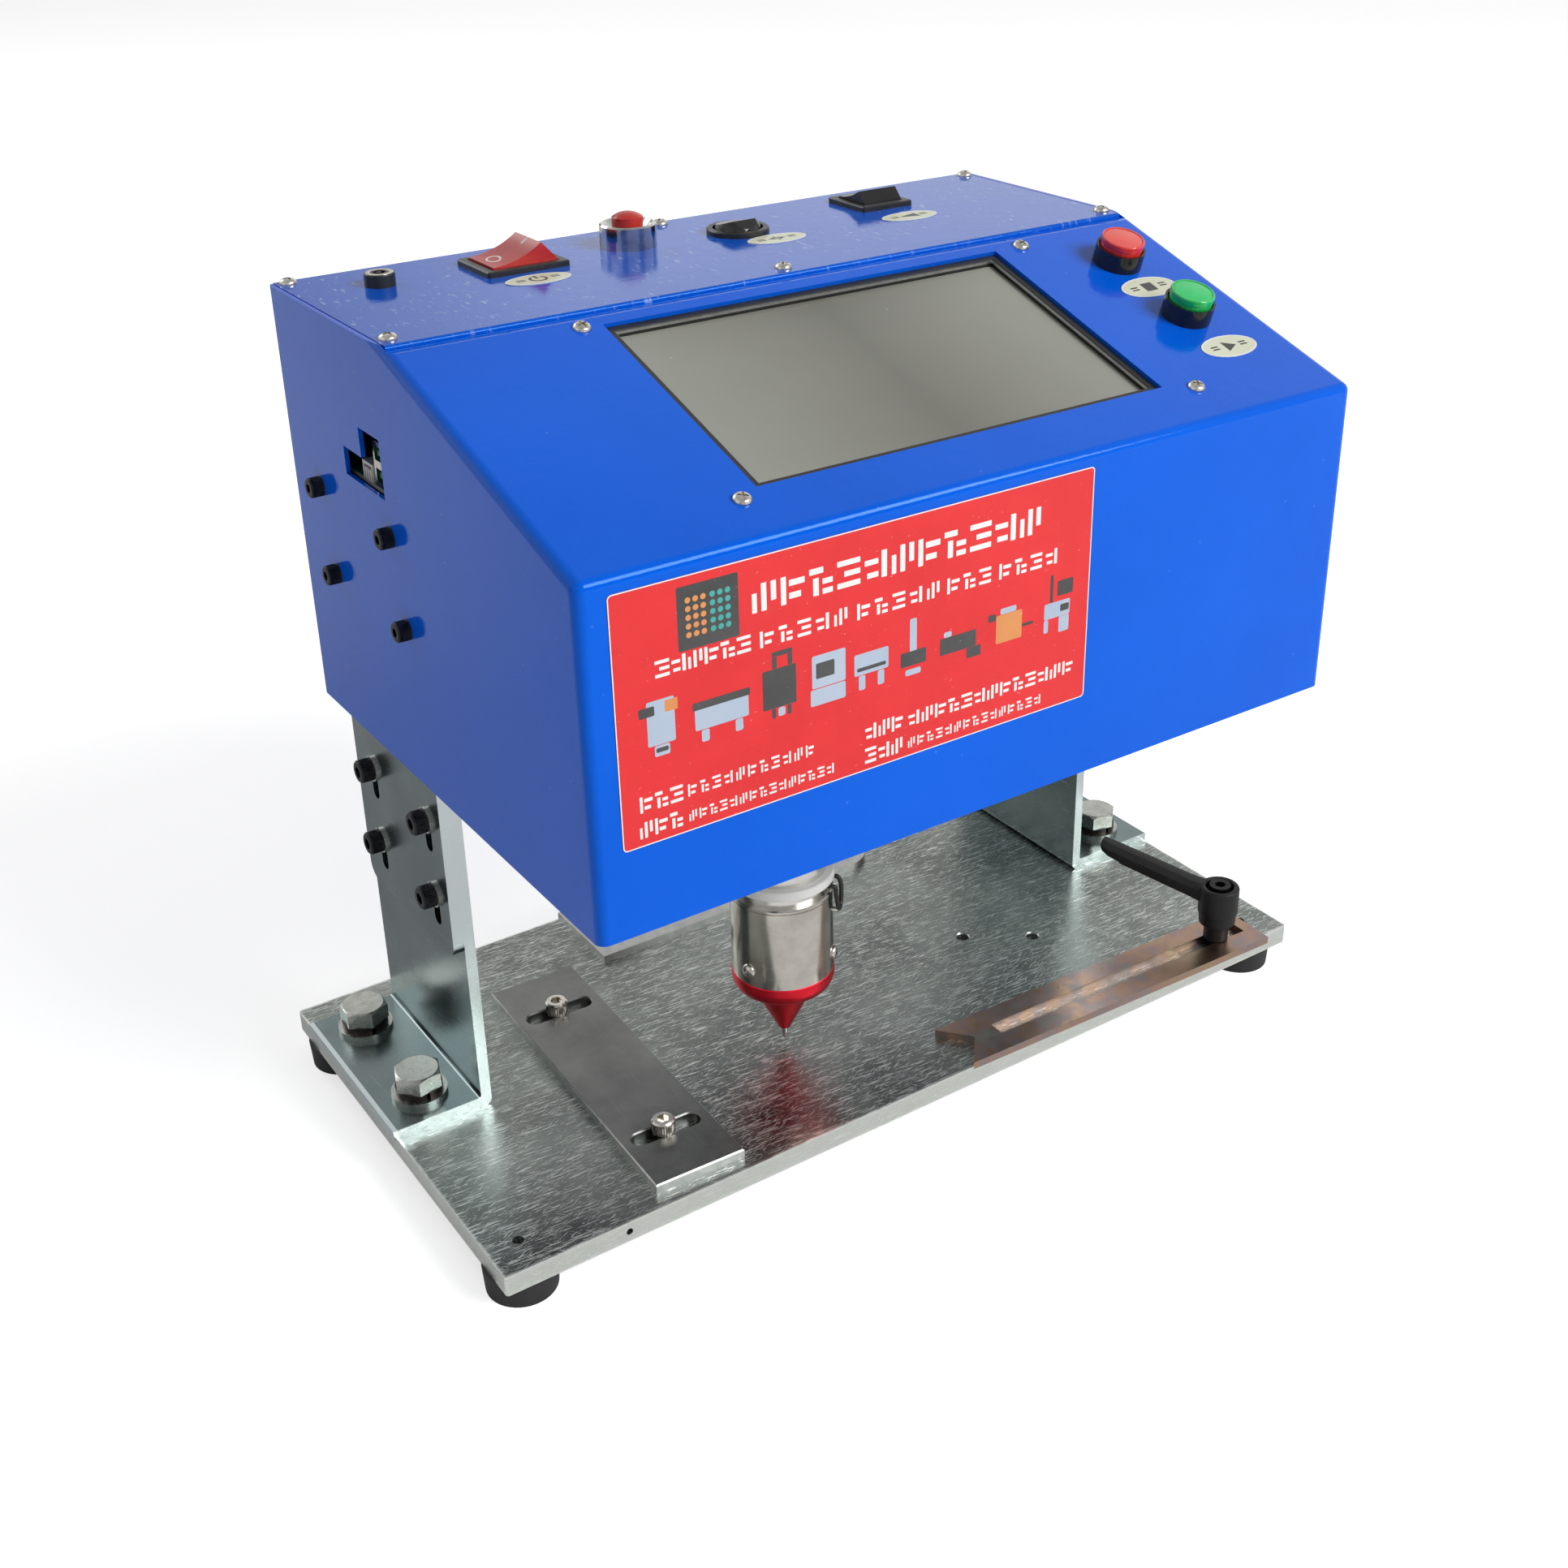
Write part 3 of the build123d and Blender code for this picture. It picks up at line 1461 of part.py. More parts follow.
screw_z = ring_top_z + barrel_screw_z
screw_turns = [
    barrel_screw_angle + step * full_turn / barrel_screw_count for step in range(barrel_screw_count)
]
screw_planes = [
    Plane(head.offset(screw_z).location * Location((0, 0, 0), (0, 0, turn)) * Location((0, 0, 0), (0, 90, 0)))
    for turn in screw_turns
]

with BuildPart() as head_barrel:
    with BuildSketch(head_side):
        with BuildLine():
            Polyline(
                (neck_r + press_gap, ring_top_z),
                (barrel_r, ring_top_z),
                (barrel_r, barrel_top_z - barrel_groove_drop - barrel_groove),
                (barrel_r - barrel_groove, barrel_top_z - barrel_groove_drop - barrel_groove / 2),
                (barrel_r, barrel_top_z - barrel_groove_drop),
                (barrel_r, barrel_top_z - barrel_groove),
                (barrel_r - barrel_groove, barrel_top_z),
                (tube_r + press_gap, barrel_top_z),
                (tube_r + press_gap, tube_bottom_z),
                (barrel_cavity_r, tube_bottom_z),
                (barrel_cavity_r, floor_top_z),
                (neck_r + press_gap, floor_top_z),
                close=True,
            )
        make_face()
    revolve(axis=head_axis)
    for screw_plane in screw_planes:
        with BuildSketch(screw_plane):
            Circle(barrel_screw_r + press_gap)
        extrude(amount=barrel_r + cut_over, mode=Mode.SUBTRACT)
head_barrel.part.label = "head_barrel"
export_step(head_barrel.part, "parts/head_barrel.step")

with BuildPart() as barrel_screws:
    for screw_plane in screw_planes:
        with BuildSketch(screw_plane.offset(barrel_r)):
            Circle(barrel_head_r)
        extrude(amount=barrel_head_h)
        with BuildSketch(screw_plane.offset(barrel_r + barrel_head_h)):
            Rectangle(cross_length, cross_width)
            Rectangle(cross_width, cross_length)
        extrude(amount=-cross_depth, mode=Mode.SUBTRACT)
        with BuildSketch(screw_plane.offset(barrel_cavity_r - coil_gap + seam)):
            Circle(barrel_screw_r)
        extrude(amount=barrel_r - barrel_cavity_r + coil_gap - seam)
barrel_screws.part.label = "barrel_screws"
export_step(barrel_screws.part, "parts/barrel_screws.step")

with BuildPart() as nose_ring:
    with BuildSketch(head.offset(ring_bottom_z)):
        Circle(ring_r)
        Circle(neck_r + press_gap, mode=Mode.SUBTRACT)
    extrude(amount=ring_height)
    ring_rims = (
        nose_ring.edges()
        .filter_by(GeomType.CIRCLE)
        .filter_by(lambda rim: math.isclose(rim.radius, ring_r))
        .sort_by(Axis.Z)
    )
    fillet(ring_rims[0], ring_edge_r)
    fillet(ring_rims[-1], barrel_groove)
nose_ring.part.label = "nose_ring"
export_step(nose_ring.part, "parts/nose_ring.step")

with BuildPart() as nose_cone:
    with BuildSketch(head_side):
        with BuildLine():
            Polyline(
                (pin_bore_r, cone_tip_z),
                (cone_tip_r, cone_tip_z),
                (cone_r, cone_top_z),
                (cone_r, ring_bottom_z),
                (neck_r, ring_bottom_z),
                (neck_r, floor_top_z),
                (nose_bore_r, floor_top_z),
                (nose_bore_r, spring_seat_z),
                (pin_bore_r, spring_seat_z),
                close=True,
            )
        make_face()
    revolve(axis=head_axis)
nose_cone.part.label = "nose_cone"
export_step(nose_cone.part, "parts/nose_cone.step")

with BuildPart() as coil:
    with BuildSketch(head.offset(floor_top_z)):
        Circle(barrel_cavity_r - coil_gap)
        Circle(coil_bore_r, mode=Mode.SUBTRACT)
    extrude(amount=coil_length)
coil.part.label = "coil"
export_step(coil.part, "parts/coil.step")

with BuildPart() as stylus:
    armature_z = floor_top_z + armature_lift
    with BuildSketch(head_side):
        with BuildLine():
            Polyline(
                (0, tip_height),
                (tip_r, tip_height),
                (pin_r, tip_height + tip_length),
                (pin_r, pin_collar_z),
                (spring_r, pin_collar_z),
                (spring_r, armature_z),
                (armature_r, armature_z),
                (armature_r, armature_z + armature_length),
                (0, armature_z + armature_length),
                close=True,
            )
        make_face()
    revolve(axis=head_axis)
stylus.part.label = "stylus"
export_step(stylus.part, "parts/stylus.step")

with BuildPart() as return_spring:
    with BuildSketch(head.offset(spring_seat_z)):
        Circle(spring_r)
        Circle(spring_bore_r, mode=Mode.SUBTRACT)
    extrude(amount=pin_collar_z - spring_seat_z)
return_spring.part.label = "return_spring"
export_step(return_spring.part, "parts/return_spring.step")

# Short cable loop: out of the gap over the barrel, down to its lug, and back

cable_side = Plane(head.location * Location((0, 0, 0), (0, 0, cable_angle)))
lug_spot = Plane(cable_side.location * Location((barrel_r, 0, barrel_top_z - lug_drop), (0, 90, 0)))
cable_points = [cable_side.from_local_coords(point) for point in cable_route]
turns = []
runs = []
for start, end in zip(cable_points, cable_points[1:]):
    runs.append((end - start).length)
for before, here, after in zip(cable_points, cable_points[1:], cable_points[2:]):
    turns.append((here - before).get_angle(after - here))
cable_radii = [
    cable_radius_share * min(first, second) / math.tan(math.radians(turn / 2))
    for first, second, turn in zip(runs, runs[1:], turns)
]
print("cable radii", [round(radius, 2) for radius in cable_radii])

with BuildPart() as head_cable:
    with BuildLine():
        route = FilletPolyline(*cable_points, radius=cable_radii)
    with BuildSketch(Plane(origin=route @ 0, z_dir=route % 0)):
        Circle(cable_r)
    sweep()
    tube_volume = math.pi * cable_r**2 * route.length
    print("cable volume", round(head_cable.part.volume, 2), "of", round(tube_volume, 2))
    with BuildSketch(lug_spot):
        Circle(lug_r)
    extrude(amount=lug_reach)
head_cable.part.label = "head_cable"
export_step(head_cable.part, "parts/head_cable.step")

# Thin plate on the rear of the base

with BuildPart() as rear_plate:
    with BuildSketch(ground):
        with BuildLine():
            Polyline(
                (rear_plate_x + rear_plate_width, base_depth),
                (rear_plate_x, base_depth),
                (rear_plate_x, rear_plate_front),
                (rear_plate_x + rear_plate_width - rear_plate_corner_r, rear_plate_front),
            )
            RadiusArc(
                (rear_plate_x + rear_plate_width - rear_plate_corner_r, rear_plate_front),
                (rear_plate_x + rear_plate_width, rear_plate_front + rear_plate_corner_r),
                -rear_plate_corner_r,
            )
            Line(
                (rear_plate_x + rear_plate_width, rear_plate_front + rear_plate_corner_r),
                (rear_plate_x + rear_plate_width, base_depth),
            )
        make_face()
    extrude(amount=rear_plate_thick)
rear_plate.part.label = "rear_plate"
export_step(rear_plate.part, "parts/rear_plate.step")

# Left stop bar: two cross slots on two socket screws

with BuildPart() as left_stop_bar:
    with BuildSketch(left_bar):
        Rectangle(left_bar_width, left_bar_length)
        with GridLocations(0, left_slot_pitch, 1, 2):
            SlotOverall(left_slot_length, left_slot_width, mode=Mode.SUBTRACT)
    extrude(amount=left_bar_thick)
    chamfer(left_stop_bar.edges().group_by(Axis.Z)[-1].filter_by(GeomType.LINE), bar_edge)
left_stop_bar.part.label = "left_stop_bar"
export_step(left_stop_bar.part, "parts/left_stop_bar.step")

with BuildPart() as left_stop_screws:
    with BuildSketch(left_bar.offset(-stop_bite)):
        with Locations(*stop_screw_spots):
            Circle(stop_screw_r)
    extrude(amount=stop_bite + left_bar_thick)
    with BuildSketch(left_bar.offset(left_bar_thick)):
        with Locations(*stop_screw_spots):
            Circle(stop_head_r)
    extrude(amount=stop_head_h)
    chamfer(left_stop_screws.edges().group_by(Axis.Z)[-1], bar_edge)
    with BuildSketch(left_bar.offset(left_bar_thick + stop_head_h)):
        with Locations(*stop_screw_spots):
            RegularPolygon(stop_hex / 2, 6, major_radius=False)
    extrude(amount=-stop_hex_depth, mode=Mode.SUBTRACT)
left_stop_screws.part.label = "left_stop_screws"
export_step(left_stop_screws.part, "parts/left_stop_screws.step")

# Right stop bar: notched end, long slot, and the clamp lever on its stud

with BuildPart() as right_stop_bar:
    with BuildSketch(right_bar):
        with BuildLine():
            Polyline(
                (0, 0),
                (right_bar_length, 0),
                (right_bar_length, right_bar_width),
                (0, right_bar_width),
                (notch_depth, right_bar_width * notch_share),
                close=True,
            )
        make_face()
        with Locations((right_slot_first, stud_y)):
            Rectangle(
                right_slot_length,
                right_slot_width,
                align=(Align.MIN, Align.CENTER),
                mode=Mode.SUBTRACT,
            )
    extrude(amount=right_bar_thick)
right_stop_bar.part.label = "right_stop_bar"
export_step(right_stop_bar.part, "parts/right_stop_bar.step")

stud_spot = Plane(right_bar.location * Location((stud_place, stud_y, 0)))
collar_top = right_bar_thick + stud_collar_h

stud_seat = collar_top + lever_hub_h - lever_recess_depth

with BuildPart() as lever_stud:
    with BuildSketch(stud_spot.offset(-stud_bite)):
        Circle(stud_r)
    extrude(amount=stud_bite + stud_seat)
    with BuildSketch(stud_spot.offset(stud_seat)):
        Circle(stud_head_r)
    extrude(amount=stud_head_h)
    with BuildSketch(stud_spot.offset(stud_seat + stud_head_h)):
        RegularPolygon(stud_hex / 2, 6, major_radius=False)
    extrude(amount=-stud_hex_depth, mode=Mode.SUBTRACT)
lever_stud.part.label = "lever_stud"
export_step(lever_stud.part, "parts/lever_stud.step")

hub_top = collar_top + lever_hub_h
lever_plane = Plane(stud_spot.location * Location((0, 0, 0), (0, 0, lever_angle - right_bar_angle)))
lever_side = Plane(lever_plane.origin, x_dir=lever_plane.x_dir, z_dir=-lever_plane.y_dir)

with BuildPart() as clamp_lever:
    with BuildSketch(stud_spot.offset(right_bar_thick)):
        Circle(stud_collar_r)
    extrude(amount=stud_collar_h)
    with BuildSketch(stud_spot.offset(collar_top)):
        Circle(lever_skirt_r)
    extrude(amount=lever_skirt_h)
    with BuildSketch(stud_spot.offset(collar_top + lever_skirt_h)):
        Circle(lever_hub_r)
    extrude(
        amount=lever_hub_h - lever_skirt_h,
        taper=math.degrees(math.atan2(lever_hub_r - lever_hub_top_r, lever_hub_h - lever_skirt_h)),
    )
    with BuildSketch(lever_side):
        with BuildLine():
            Polyline(
                (0, hub_top - lever_arm_depth),
                (lever_length - lever_tip_width / 2, hub_top - lever_arm_depth + lever_rise),
                (lever_length, hub_top - lever_arm_depth / 2 + lever_rise),
                (lever_length, hub_top + lever_rise),
                (lever_elbow, hub_top + lever_elbow_rise),
                (0, hub_top),
                close=True,
            )
        make_face()
    extrude(amount=lever_arm_width / 2, both=True)
    with BuildSketch(stud_spot.offset(right_bar_thick)):
        Circle(stud_r + run_gap)
    extrude(amount=hub_top + lever_rise - right_bar_thick, mode=Mode.SUBTRACT)
    with BuildSketch(stud_spot.offset(stud_seat)):
        Circle(lever_recess_r)
    extrude(amount=lever_recess_depth + lever_rise, mode=Mode.SUBTRACT)
clamp_lever.part.label = "clamp_lever"
export_step(clamp_lever.part, "parts/clamp_lever.step")
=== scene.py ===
import json
import math

import bmesh
import bpy
from mathutils import Matrix, Vector
from mathutils.bvhtree import BVHTree


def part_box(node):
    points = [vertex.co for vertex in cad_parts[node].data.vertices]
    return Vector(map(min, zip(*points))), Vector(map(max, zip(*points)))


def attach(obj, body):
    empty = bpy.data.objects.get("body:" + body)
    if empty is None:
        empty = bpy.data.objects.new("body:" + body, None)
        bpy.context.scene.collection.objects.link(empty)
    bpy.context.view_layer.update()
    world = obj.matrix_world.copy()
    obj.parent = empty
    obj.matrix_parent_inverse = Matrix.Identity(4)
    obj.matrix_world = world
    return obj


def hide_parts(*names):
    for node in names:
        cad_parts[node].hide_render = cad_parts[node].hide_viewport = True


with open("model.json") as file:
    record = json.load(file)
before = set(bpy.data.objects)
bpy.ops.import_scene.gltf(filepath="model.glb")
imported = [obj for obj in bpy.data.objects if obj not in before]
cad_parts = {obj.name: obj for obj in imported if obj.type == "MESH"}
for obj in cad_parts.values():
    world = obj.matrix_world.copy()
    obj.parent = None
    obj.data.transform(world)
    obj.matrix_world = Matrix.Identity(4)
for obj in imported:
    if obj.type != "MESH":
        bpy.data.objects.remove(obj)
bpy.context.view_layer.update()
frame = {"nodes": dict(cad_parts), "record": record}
nodes = frame["nodes"]
slotOf = {row["node"]: row["material_slot"] for row in frame["record"]["subparts"]}

mm = 0.001
deck = Vector((-179.3, -75.125, 18))  # front left corner of the base's top face, millimetres
caseLeft, caseBottom, caseTop, roofFront, noseReach = 27.5, 133.7, 285, 86.3, 31.5
slopeDrop = 37.7
slopeTurn = math.atan2(slopeDrop, roofFront + noseReach)
headX, headY = 145.4, 54.8  # axis of the marking head
barX, barY, barTurn = 80.4, 74.4, 1.8  # middle of the left stop bar, and its turn in degrees


def spotFrame(x, y, z, normal=(0, 0, 1), across=(1, 0, 0)):
    # local millimetres to metres in the frame, local Z along the normal
    up = Vector(normal).normalized()
    side = (Vector(across) - up * Vector(across).dot(up)).normalized()
    turn = Matrix((side, up.cross(side), up)).transposed().to_4x4()
    return Matrix.Translation((deck + Vector((x, y, z))) * mm) @ turn @ Matrix.Scale(mm, 4)


slopeUp = (0, -math.sin(slopeTurn), math.cos(slopeTurn))
roof = spotFrame(caseLeft, 0, caseTop)
slope = spotFrame(caseLeft, roofFront, caseTop, slopeUp)
front = spotFrame(caseLeft, -noseReach, caseBottom, (0, -1, 0))


# camera

view = {
    "sensor": 36,
    "azimuth": -34.189,
    "elevation": 26.485,
    "roll": -0.796,
    "place": (-0.3644, -0.536025, 0.4665),
    "lens": 44.84,
    "shiftX": -0.0249,
    "shiftY": -0.0507,
}


def link(thing):
    bpy.context.scene.collection.objects.link(thing)


def setCamera(values):
    az, el, roll = (math.radians(values[k]) for k in ("azimuth", "elevation", "roll"))
    back = Vector((math.sin(az) * math.cos(el), -math.cos(az) * math.cos(el), math.sin(el)))
    side = (-back).cross(Vector((0, 0, 1))).normalized()
    up = side.cross(-back)
    right = side * math.cos(roll) + up * math.sin(roll)
    above = up * math.cos(roll) - side * math.sin(roll)
    data = bpy.data.cameras.new("photoCamera")
    data.sensor_width = values["sensor"]
    data.lens = values["lens"]
    data.shift_x = values["shiftX"]
    data.shift_y = values["shiftY"]
    data.clip_start = 0.01
    camera = bpy.data.objects.new("photoCamera", data)
    camera.matrix_world = Matrix.Translation(values["place"]) @ Matrix((right, above, back)).transposed().to_4x4()
    link(camera)
    bpy.context.scene.camera = camera
    bpy.context.scene.view_settings.view_transform = "Standard"


setCamera(view)
print("camera set")


# small helpers for node trees


def put(tree, kind, sockets=None, **settings):
    node = tree.nodes.new(kind)
    for name, value in settings.items():
        setattr(node, name, value)
    for name, value in (sockets or {}).items():
        feed(tree, node.inputs[name], value)
    return node


def feed(tree, socket, value):
    if isinstance(value, bpy.types.NodeSocket):
        tree.links.new(value, socket)
    else:
        socket.default_value = value


def calc(tree, operation, a, b=0.0):
    return put(tree, "ShaderNodeMath", {0: a, 1: b}, operation=operation).outputs[0]


def times(tree, a, b):
    return calc(tree, "MULTIPLY", a, b)


def plus(tree, a, b):
    return calc(tree, "ADD", a, b)


def span(tree, value, low, high, toLow=0.0, toHigh=1.0):
    sockets = {0: value, 1: low, 2: high, 3: toLow, 4: toHigh}
    return put(tree, "ShaderNodeMapRange", sockets).outputs[0]


def blend(tree, mask, a, b):
    # colour a where the mask is 0, b where it is 1
    node = put(tree, "ShaderNodeMix", {0: mask, 6: a, 7: b}, data_type="RGBA")
    return node.outputs[2]


def rgb(red, green, blue):
    return (red, green, blue, 1)


def lit(red, green, blue):
    # a screen colour in 0-255 as the linear colour of a socket
    def linear(c):
        c = c / 255
        return c / 12.92 if c <= 0.04045 else ((c + 0.055) / 1.055) ** 2.4

    return (linear(red), linear(green), linear(blue), 1)


def newGroup(name, inputs, outputs):
    group = bpy.data.node_groups.new(name, "ShaderNodeTree")
    kinds = {"vector": "NodeSocketVector", "value": "NodeSocketFloat"}
    for label, kind, default in inputs:
        socket = group.interface.new_socket(name=label, in_out="INPUT", socket_type=kinds[kind])
        if default is not None:
            socket.default_value = default
    for label, kind in outputs:
        group.interface.new_socket(name=label, in_out="OUTPUT", socket_type=kinds[kind])
    return group, group.nodes.new("NodeGroupInput"), group.nodes.new("NodeGroupOutput")


def vectorCalc(tree, operation, a, b):
    return put(tree, "ShaderNodeVectorMath", {0: a, 1: b}, operation=operation).outputs[0]


def stretched(tree, vector, x, y, z):
    # vector divided by three sizes
    sizes = put(tree, "ShaderNodeCombineXYZ", {0: x, 1: y, 2: z}).outputs[0]
    return vectorCalc(tree, "DIVIDE", vector, sizes)


def partsOf(tree, vector):
    return put(tree, "ShaderNodeSeparateXYZ", {0: vector}).outputs


def makeClouds():
    # soft blotches of one size, as a value from 0 to 1
    group, source, sink = newGroup(
        "clouds",
        [("Vector", "vector", None), ("Size", "value", 0.02), ("Low", "value", 0.3), ("High", "value", 0.7)],
        [("Value", "value")],
    )
    size = source.outputs["Size"]
    moved = stretched(group, source.outputs["Vector"], size, size, size)
    noise = put(group, "ShaderNodeTexNoise", {"Vector": moved, "Scale": 1.0, "Detail": 5.0, "Roughness": 0.6})
    value = span(group, noise.outputs[0], source.outputs["Low"], source.outputs["High"])
    group.links.new(value, sink.inputs["Value"])
    return group


def makeStrokes():
    # short strokes of a length and width, turned about Z
    group, source, sink = newGroup(
        "strokes",
        [
            ("Vector", "vector", None),
            ("Length", "value", 0.006),
            ("Width", "value", 0.0006),
            ("Angle", "value", 0.0),
            ("Limit", "value", 0.6),
            ("Softness", "value", 0.06),
        ],
        [("Mask", "value")],
    )
    turned = put(
        group,
        "ShaderNodeVectorRotate",
        {"Vector": source.outputs["Vector"], "Angle": source.outputs["Angle"]},
        rotation_type="Z_AXIS",
    )
    width = source.outputs["Width"]
    moved = stretched(group, turned.outputs[0], source.outputs["Length"], width, width)
    noise = put(group, "ShaderNodeTexNoise", {"Vector": moved, "Scale": 1.0, "Detail": 3.0, "Roughness": 0.55})
    top = plus(group, source.outputs["Limit"], source.outputs["Softness"])
    mask = span(group, noise.outputs[0], source.outputs["Limit"], top)
    group.links.new(mask, sink.inputs["Mask"])
    return group


def makeSpecks():
    # scattered round specks
    group, source, sink = newGroup(
        "specks",
        [("Vector", "vector", None), ("Pitch", "value", 0.006), ("Size", "value", 0.12)],
        [("Mask", "value")],
    )
    pitch = source.outputs["Pitch"]
    moved = stretched(group, source.outputs["Vector"], pitch, pitch, pitch)
    cells = put(group, "ShaderNodeTexVoronoi", {"Vector": moved, "Scale": 1.0})
    half = times(group, source.outputs["Size"], 0.5)
    mask = span(group, cells.outputs["Distance"], half, source.outputs["Size"], 1.0, 0.0)
    group.links.new(mask, sink.inputs["Mask"])
    return group


sideSkin = 0.0003  # how deep a point still counts as on a side face, metres


def makeEdges():
    # Mask: 1 on a box's nearest edge, 0 past the width, for edge wear with a painted highlight; the side output:
    # 1 on its upright sides, where a painted reflection goes
    group, source, sink = newGroup(
        "edges",
        [
            ("Vector", "vector", None),
            ("Low", "vector", None),
            ("High", "vector", None),
            ("Width", "value", 0.001),
        ],
        [("Mask", "value"), ("SideSheen", "value")],
    )
    low = vectorCalc(group, "SUBTRACT", source.outputs["Vector"], source.outputs["Low"])
    high = vectorCalc(group, "SUBTRACT", source.outputs["High"], source.outputs["Vector"])
    x, y, z = partsOf(group, vectorCalc(group, "MINIMUM", low, high))
    less, more = calc(group, "MINIMUM", x, y), calc(group, "MAXIMUM", x, y)
    second = calc(group, "MAXIMUM", less, calc(group, "MINIMUM", more, z))
    mask = span(group, second, 0.0, source.outputs["Width"], 1.0, 0.0)
    group.links.new(mask, sink.inputs["Mask"])
    # upright sides of the box, which get a painted reflection
    sideSheen = calc(group, "LESS_THAN", less, sideSkin)
    group.links.new(sideSheen, sink.inputs["SideSheen"])
    return group


clouds, strokes, specks, edges = makeClouds(), makeStrokes(), makeSpecks(), makeEdges()


def use(tree, group, **sockets):
    node = tree.nodes.new("ShaderNodeGroup")
    node.node_tree = group
    for name, value in sockets.items():
        feed(tree, node.inputs[name], value)
    return node.outputs[0]


def openFinish(name, **constants):
    # a material, its tree and the object coordinates
    mat = bpy.data.materials.new(name)
    mat.use_nodes = True
    tree = mat.node_tree
    shader = tree.nodes["Principled BSDF"]
    for label, value in constants.items():
        shader.inputs[label.replace("_", " ")].default_value = value
    coords = tree.nodes.new("ShaderNodeTexCoord")
    return mat, tree, coords.outputs["Object"]


def closeFinish(mat, colour, roughness, height, depth):
    # the three looks of a finish, the height as bump
    tree = mat.node_tree
    shader = tree.nodes["Principled BSDF"]
    feed(tree, shader.inputs["Base Color"], colour)
    feed(tree, shader.inputs["Roughness"], roughness)
    node = put(tree, "ShaderNodeBump", {"Height": height, "Distance": depth, "Strength": 1.0})
    tree.links.new(node.outputs[0], shader.inputs["Normal"])
    return mat


# floor, world and lamps

stageValues = {
    "floorSize": 24,
    "floorColour": rgb(0.93, 0.93, 0.93),
    "floorShade": 0.985,
    "floorGrain": 0.4,
    "floorGlow": 0.62,
    "mirroredGlow": 0.1,
    "worldForLight": 0.22,
    # the room that mirrored rays see: grey uprights, and a dimmer front and ceiling
    "bandCount": 5.0,
    "bandTurn": 0.9,
    "bandSides": (0.1, 0.85),
    "bandTop": (0.2, 0.6),
    "bandDepth": 0.6,
    "frontFade": (-0.9, 0.4),
    "frontDim": 0.6,
    "ceilingFade": (0.45, 0.8),
    "ceilingDim": 0.55,
}


def seenMask(tree):
    # 1 for rays that show the background: straight or through glass, and mirrored
    path = tree.nodes.new("ShaderNodeLightPath")
    straight = calc(tree, "MAXIMUM", path.outputs["Is Camera Ray"], path.outputs["Is Transmission Ray"])
    return straight, path.outputs["Is Glossy Ray"]


def setStage(values):
    half = values["floorSize"] / 2
    mesh = bpy.data.meshes.new("floor")
    mesh.from_pydata([(-half, -half, 0), (half, -half, 0), (half, half, 0), (-half, half, 0)], [], [(0, 1, 2, 3)])
    floor = bpy.data.objects.new("floor", mesh)
    link(floor)
    mat, tree, place = openFinish("paleFloor", Roughness=0.9, Emission_Color=rgb(1, 1, 1))
    grain = use(tree, clouds, Vector=place, Size=values["floorGrain"])
    shade = tuple(c * values["floorShade"] for c in values["floorColour"][:3]) + (1,)
    shader = tree.nodes["Principled BSDF"]
    feed(tree, shader.inputs["Base Color"], blend(tree, grain, shade, values["floorColour"]))
    straight, mirrored = seenMask(tree)
    seen = calc(tree, "MAXIMUM", straight, times(tree, mirrored, values["mirroredGlow"]))
    glow = times(tree, seen, values["floorGlow"])
    feed(tree, shader.inputs["Emission Strength"], glow)
    mesh.materials.append(mat)

    world = bpy.data.worlds.new("studio")
    bpy.context.scene.world = world
    world.use_nodes = True
    tree = world.node_tree
    background = tree.nodes["Background"]
    background.inputs["Color"].default_value = rgb(1, 1, 1)
    x, y, z = partsOf(tree, tree.nodes.new("ShaderNodeTexCoord").outputs["Generated"])
    around = times(tree, calc(tree, "ARCTAN2", y, x), values["bandCount"])
    band = span(tree, calc(tree, "SINE", plus(tree, around, values["bandTurn"])), *values["bandSides"])
    band = times(tree, band, span(tree, z, *values["bandTop"], values["bandDepth"], 0.0))
    faced = span(tree, y, *values["frontFade"], values["frontDim"], 1.0)
    above = span(tree, z, *values["ceilingFade"], 1.0, values["ceilingDim"])
    room = times(tree, faced, above)
    room = times(tree, room, calc(tree, "SUBTRACT", 1.0, band))
    straight, mirrored = seenMask(tree)
    strength = span(tree, mirrored, 0, 1, values["worldForLight"], room)
    feed(tree, background.inputs["Strength"], span(tree, straight, 0, 1, strength, 1.0))


lampRows = [
    # name, place, aimed at, width, height, watts
    ("keyLamp", (1.3, -2.4, 2.05), (0, 0, 0.2), 1.8, 1.3, 90),
    ("backLamp", (-0.8, 2.4, 1.8), (0, 0, 0.2), 1.4, 1.0, 14),
]


def setLamps(rows):
    for name, place, aim, width, height, watts in rows:
        data = bpy.data.lights.new(name, "AREA")
        data.shape = "RECTANGLE"
        data.size, data.size_y, data.energy = width, height, watts
        lamp = bpy.data.objects.new(name, data)
        lamp.location = place
        lamp.rotation_euler = (Vector(aim) - Vector(place)).to_track_quat("-Z", "Y").to_euler()
        link(lamp)


setStage(stageValues)
setLamps(lampRows)
print("floor and lamps set")


# finishes


# the side share sets how strongly the painted reflection covers upright sides; chips break the painted edge
# highlight into wear
steelValues = {"grain": 0.0012, "markRoughness": 0.08, "sideSheenShare": 0.8, "chips": 0.004}


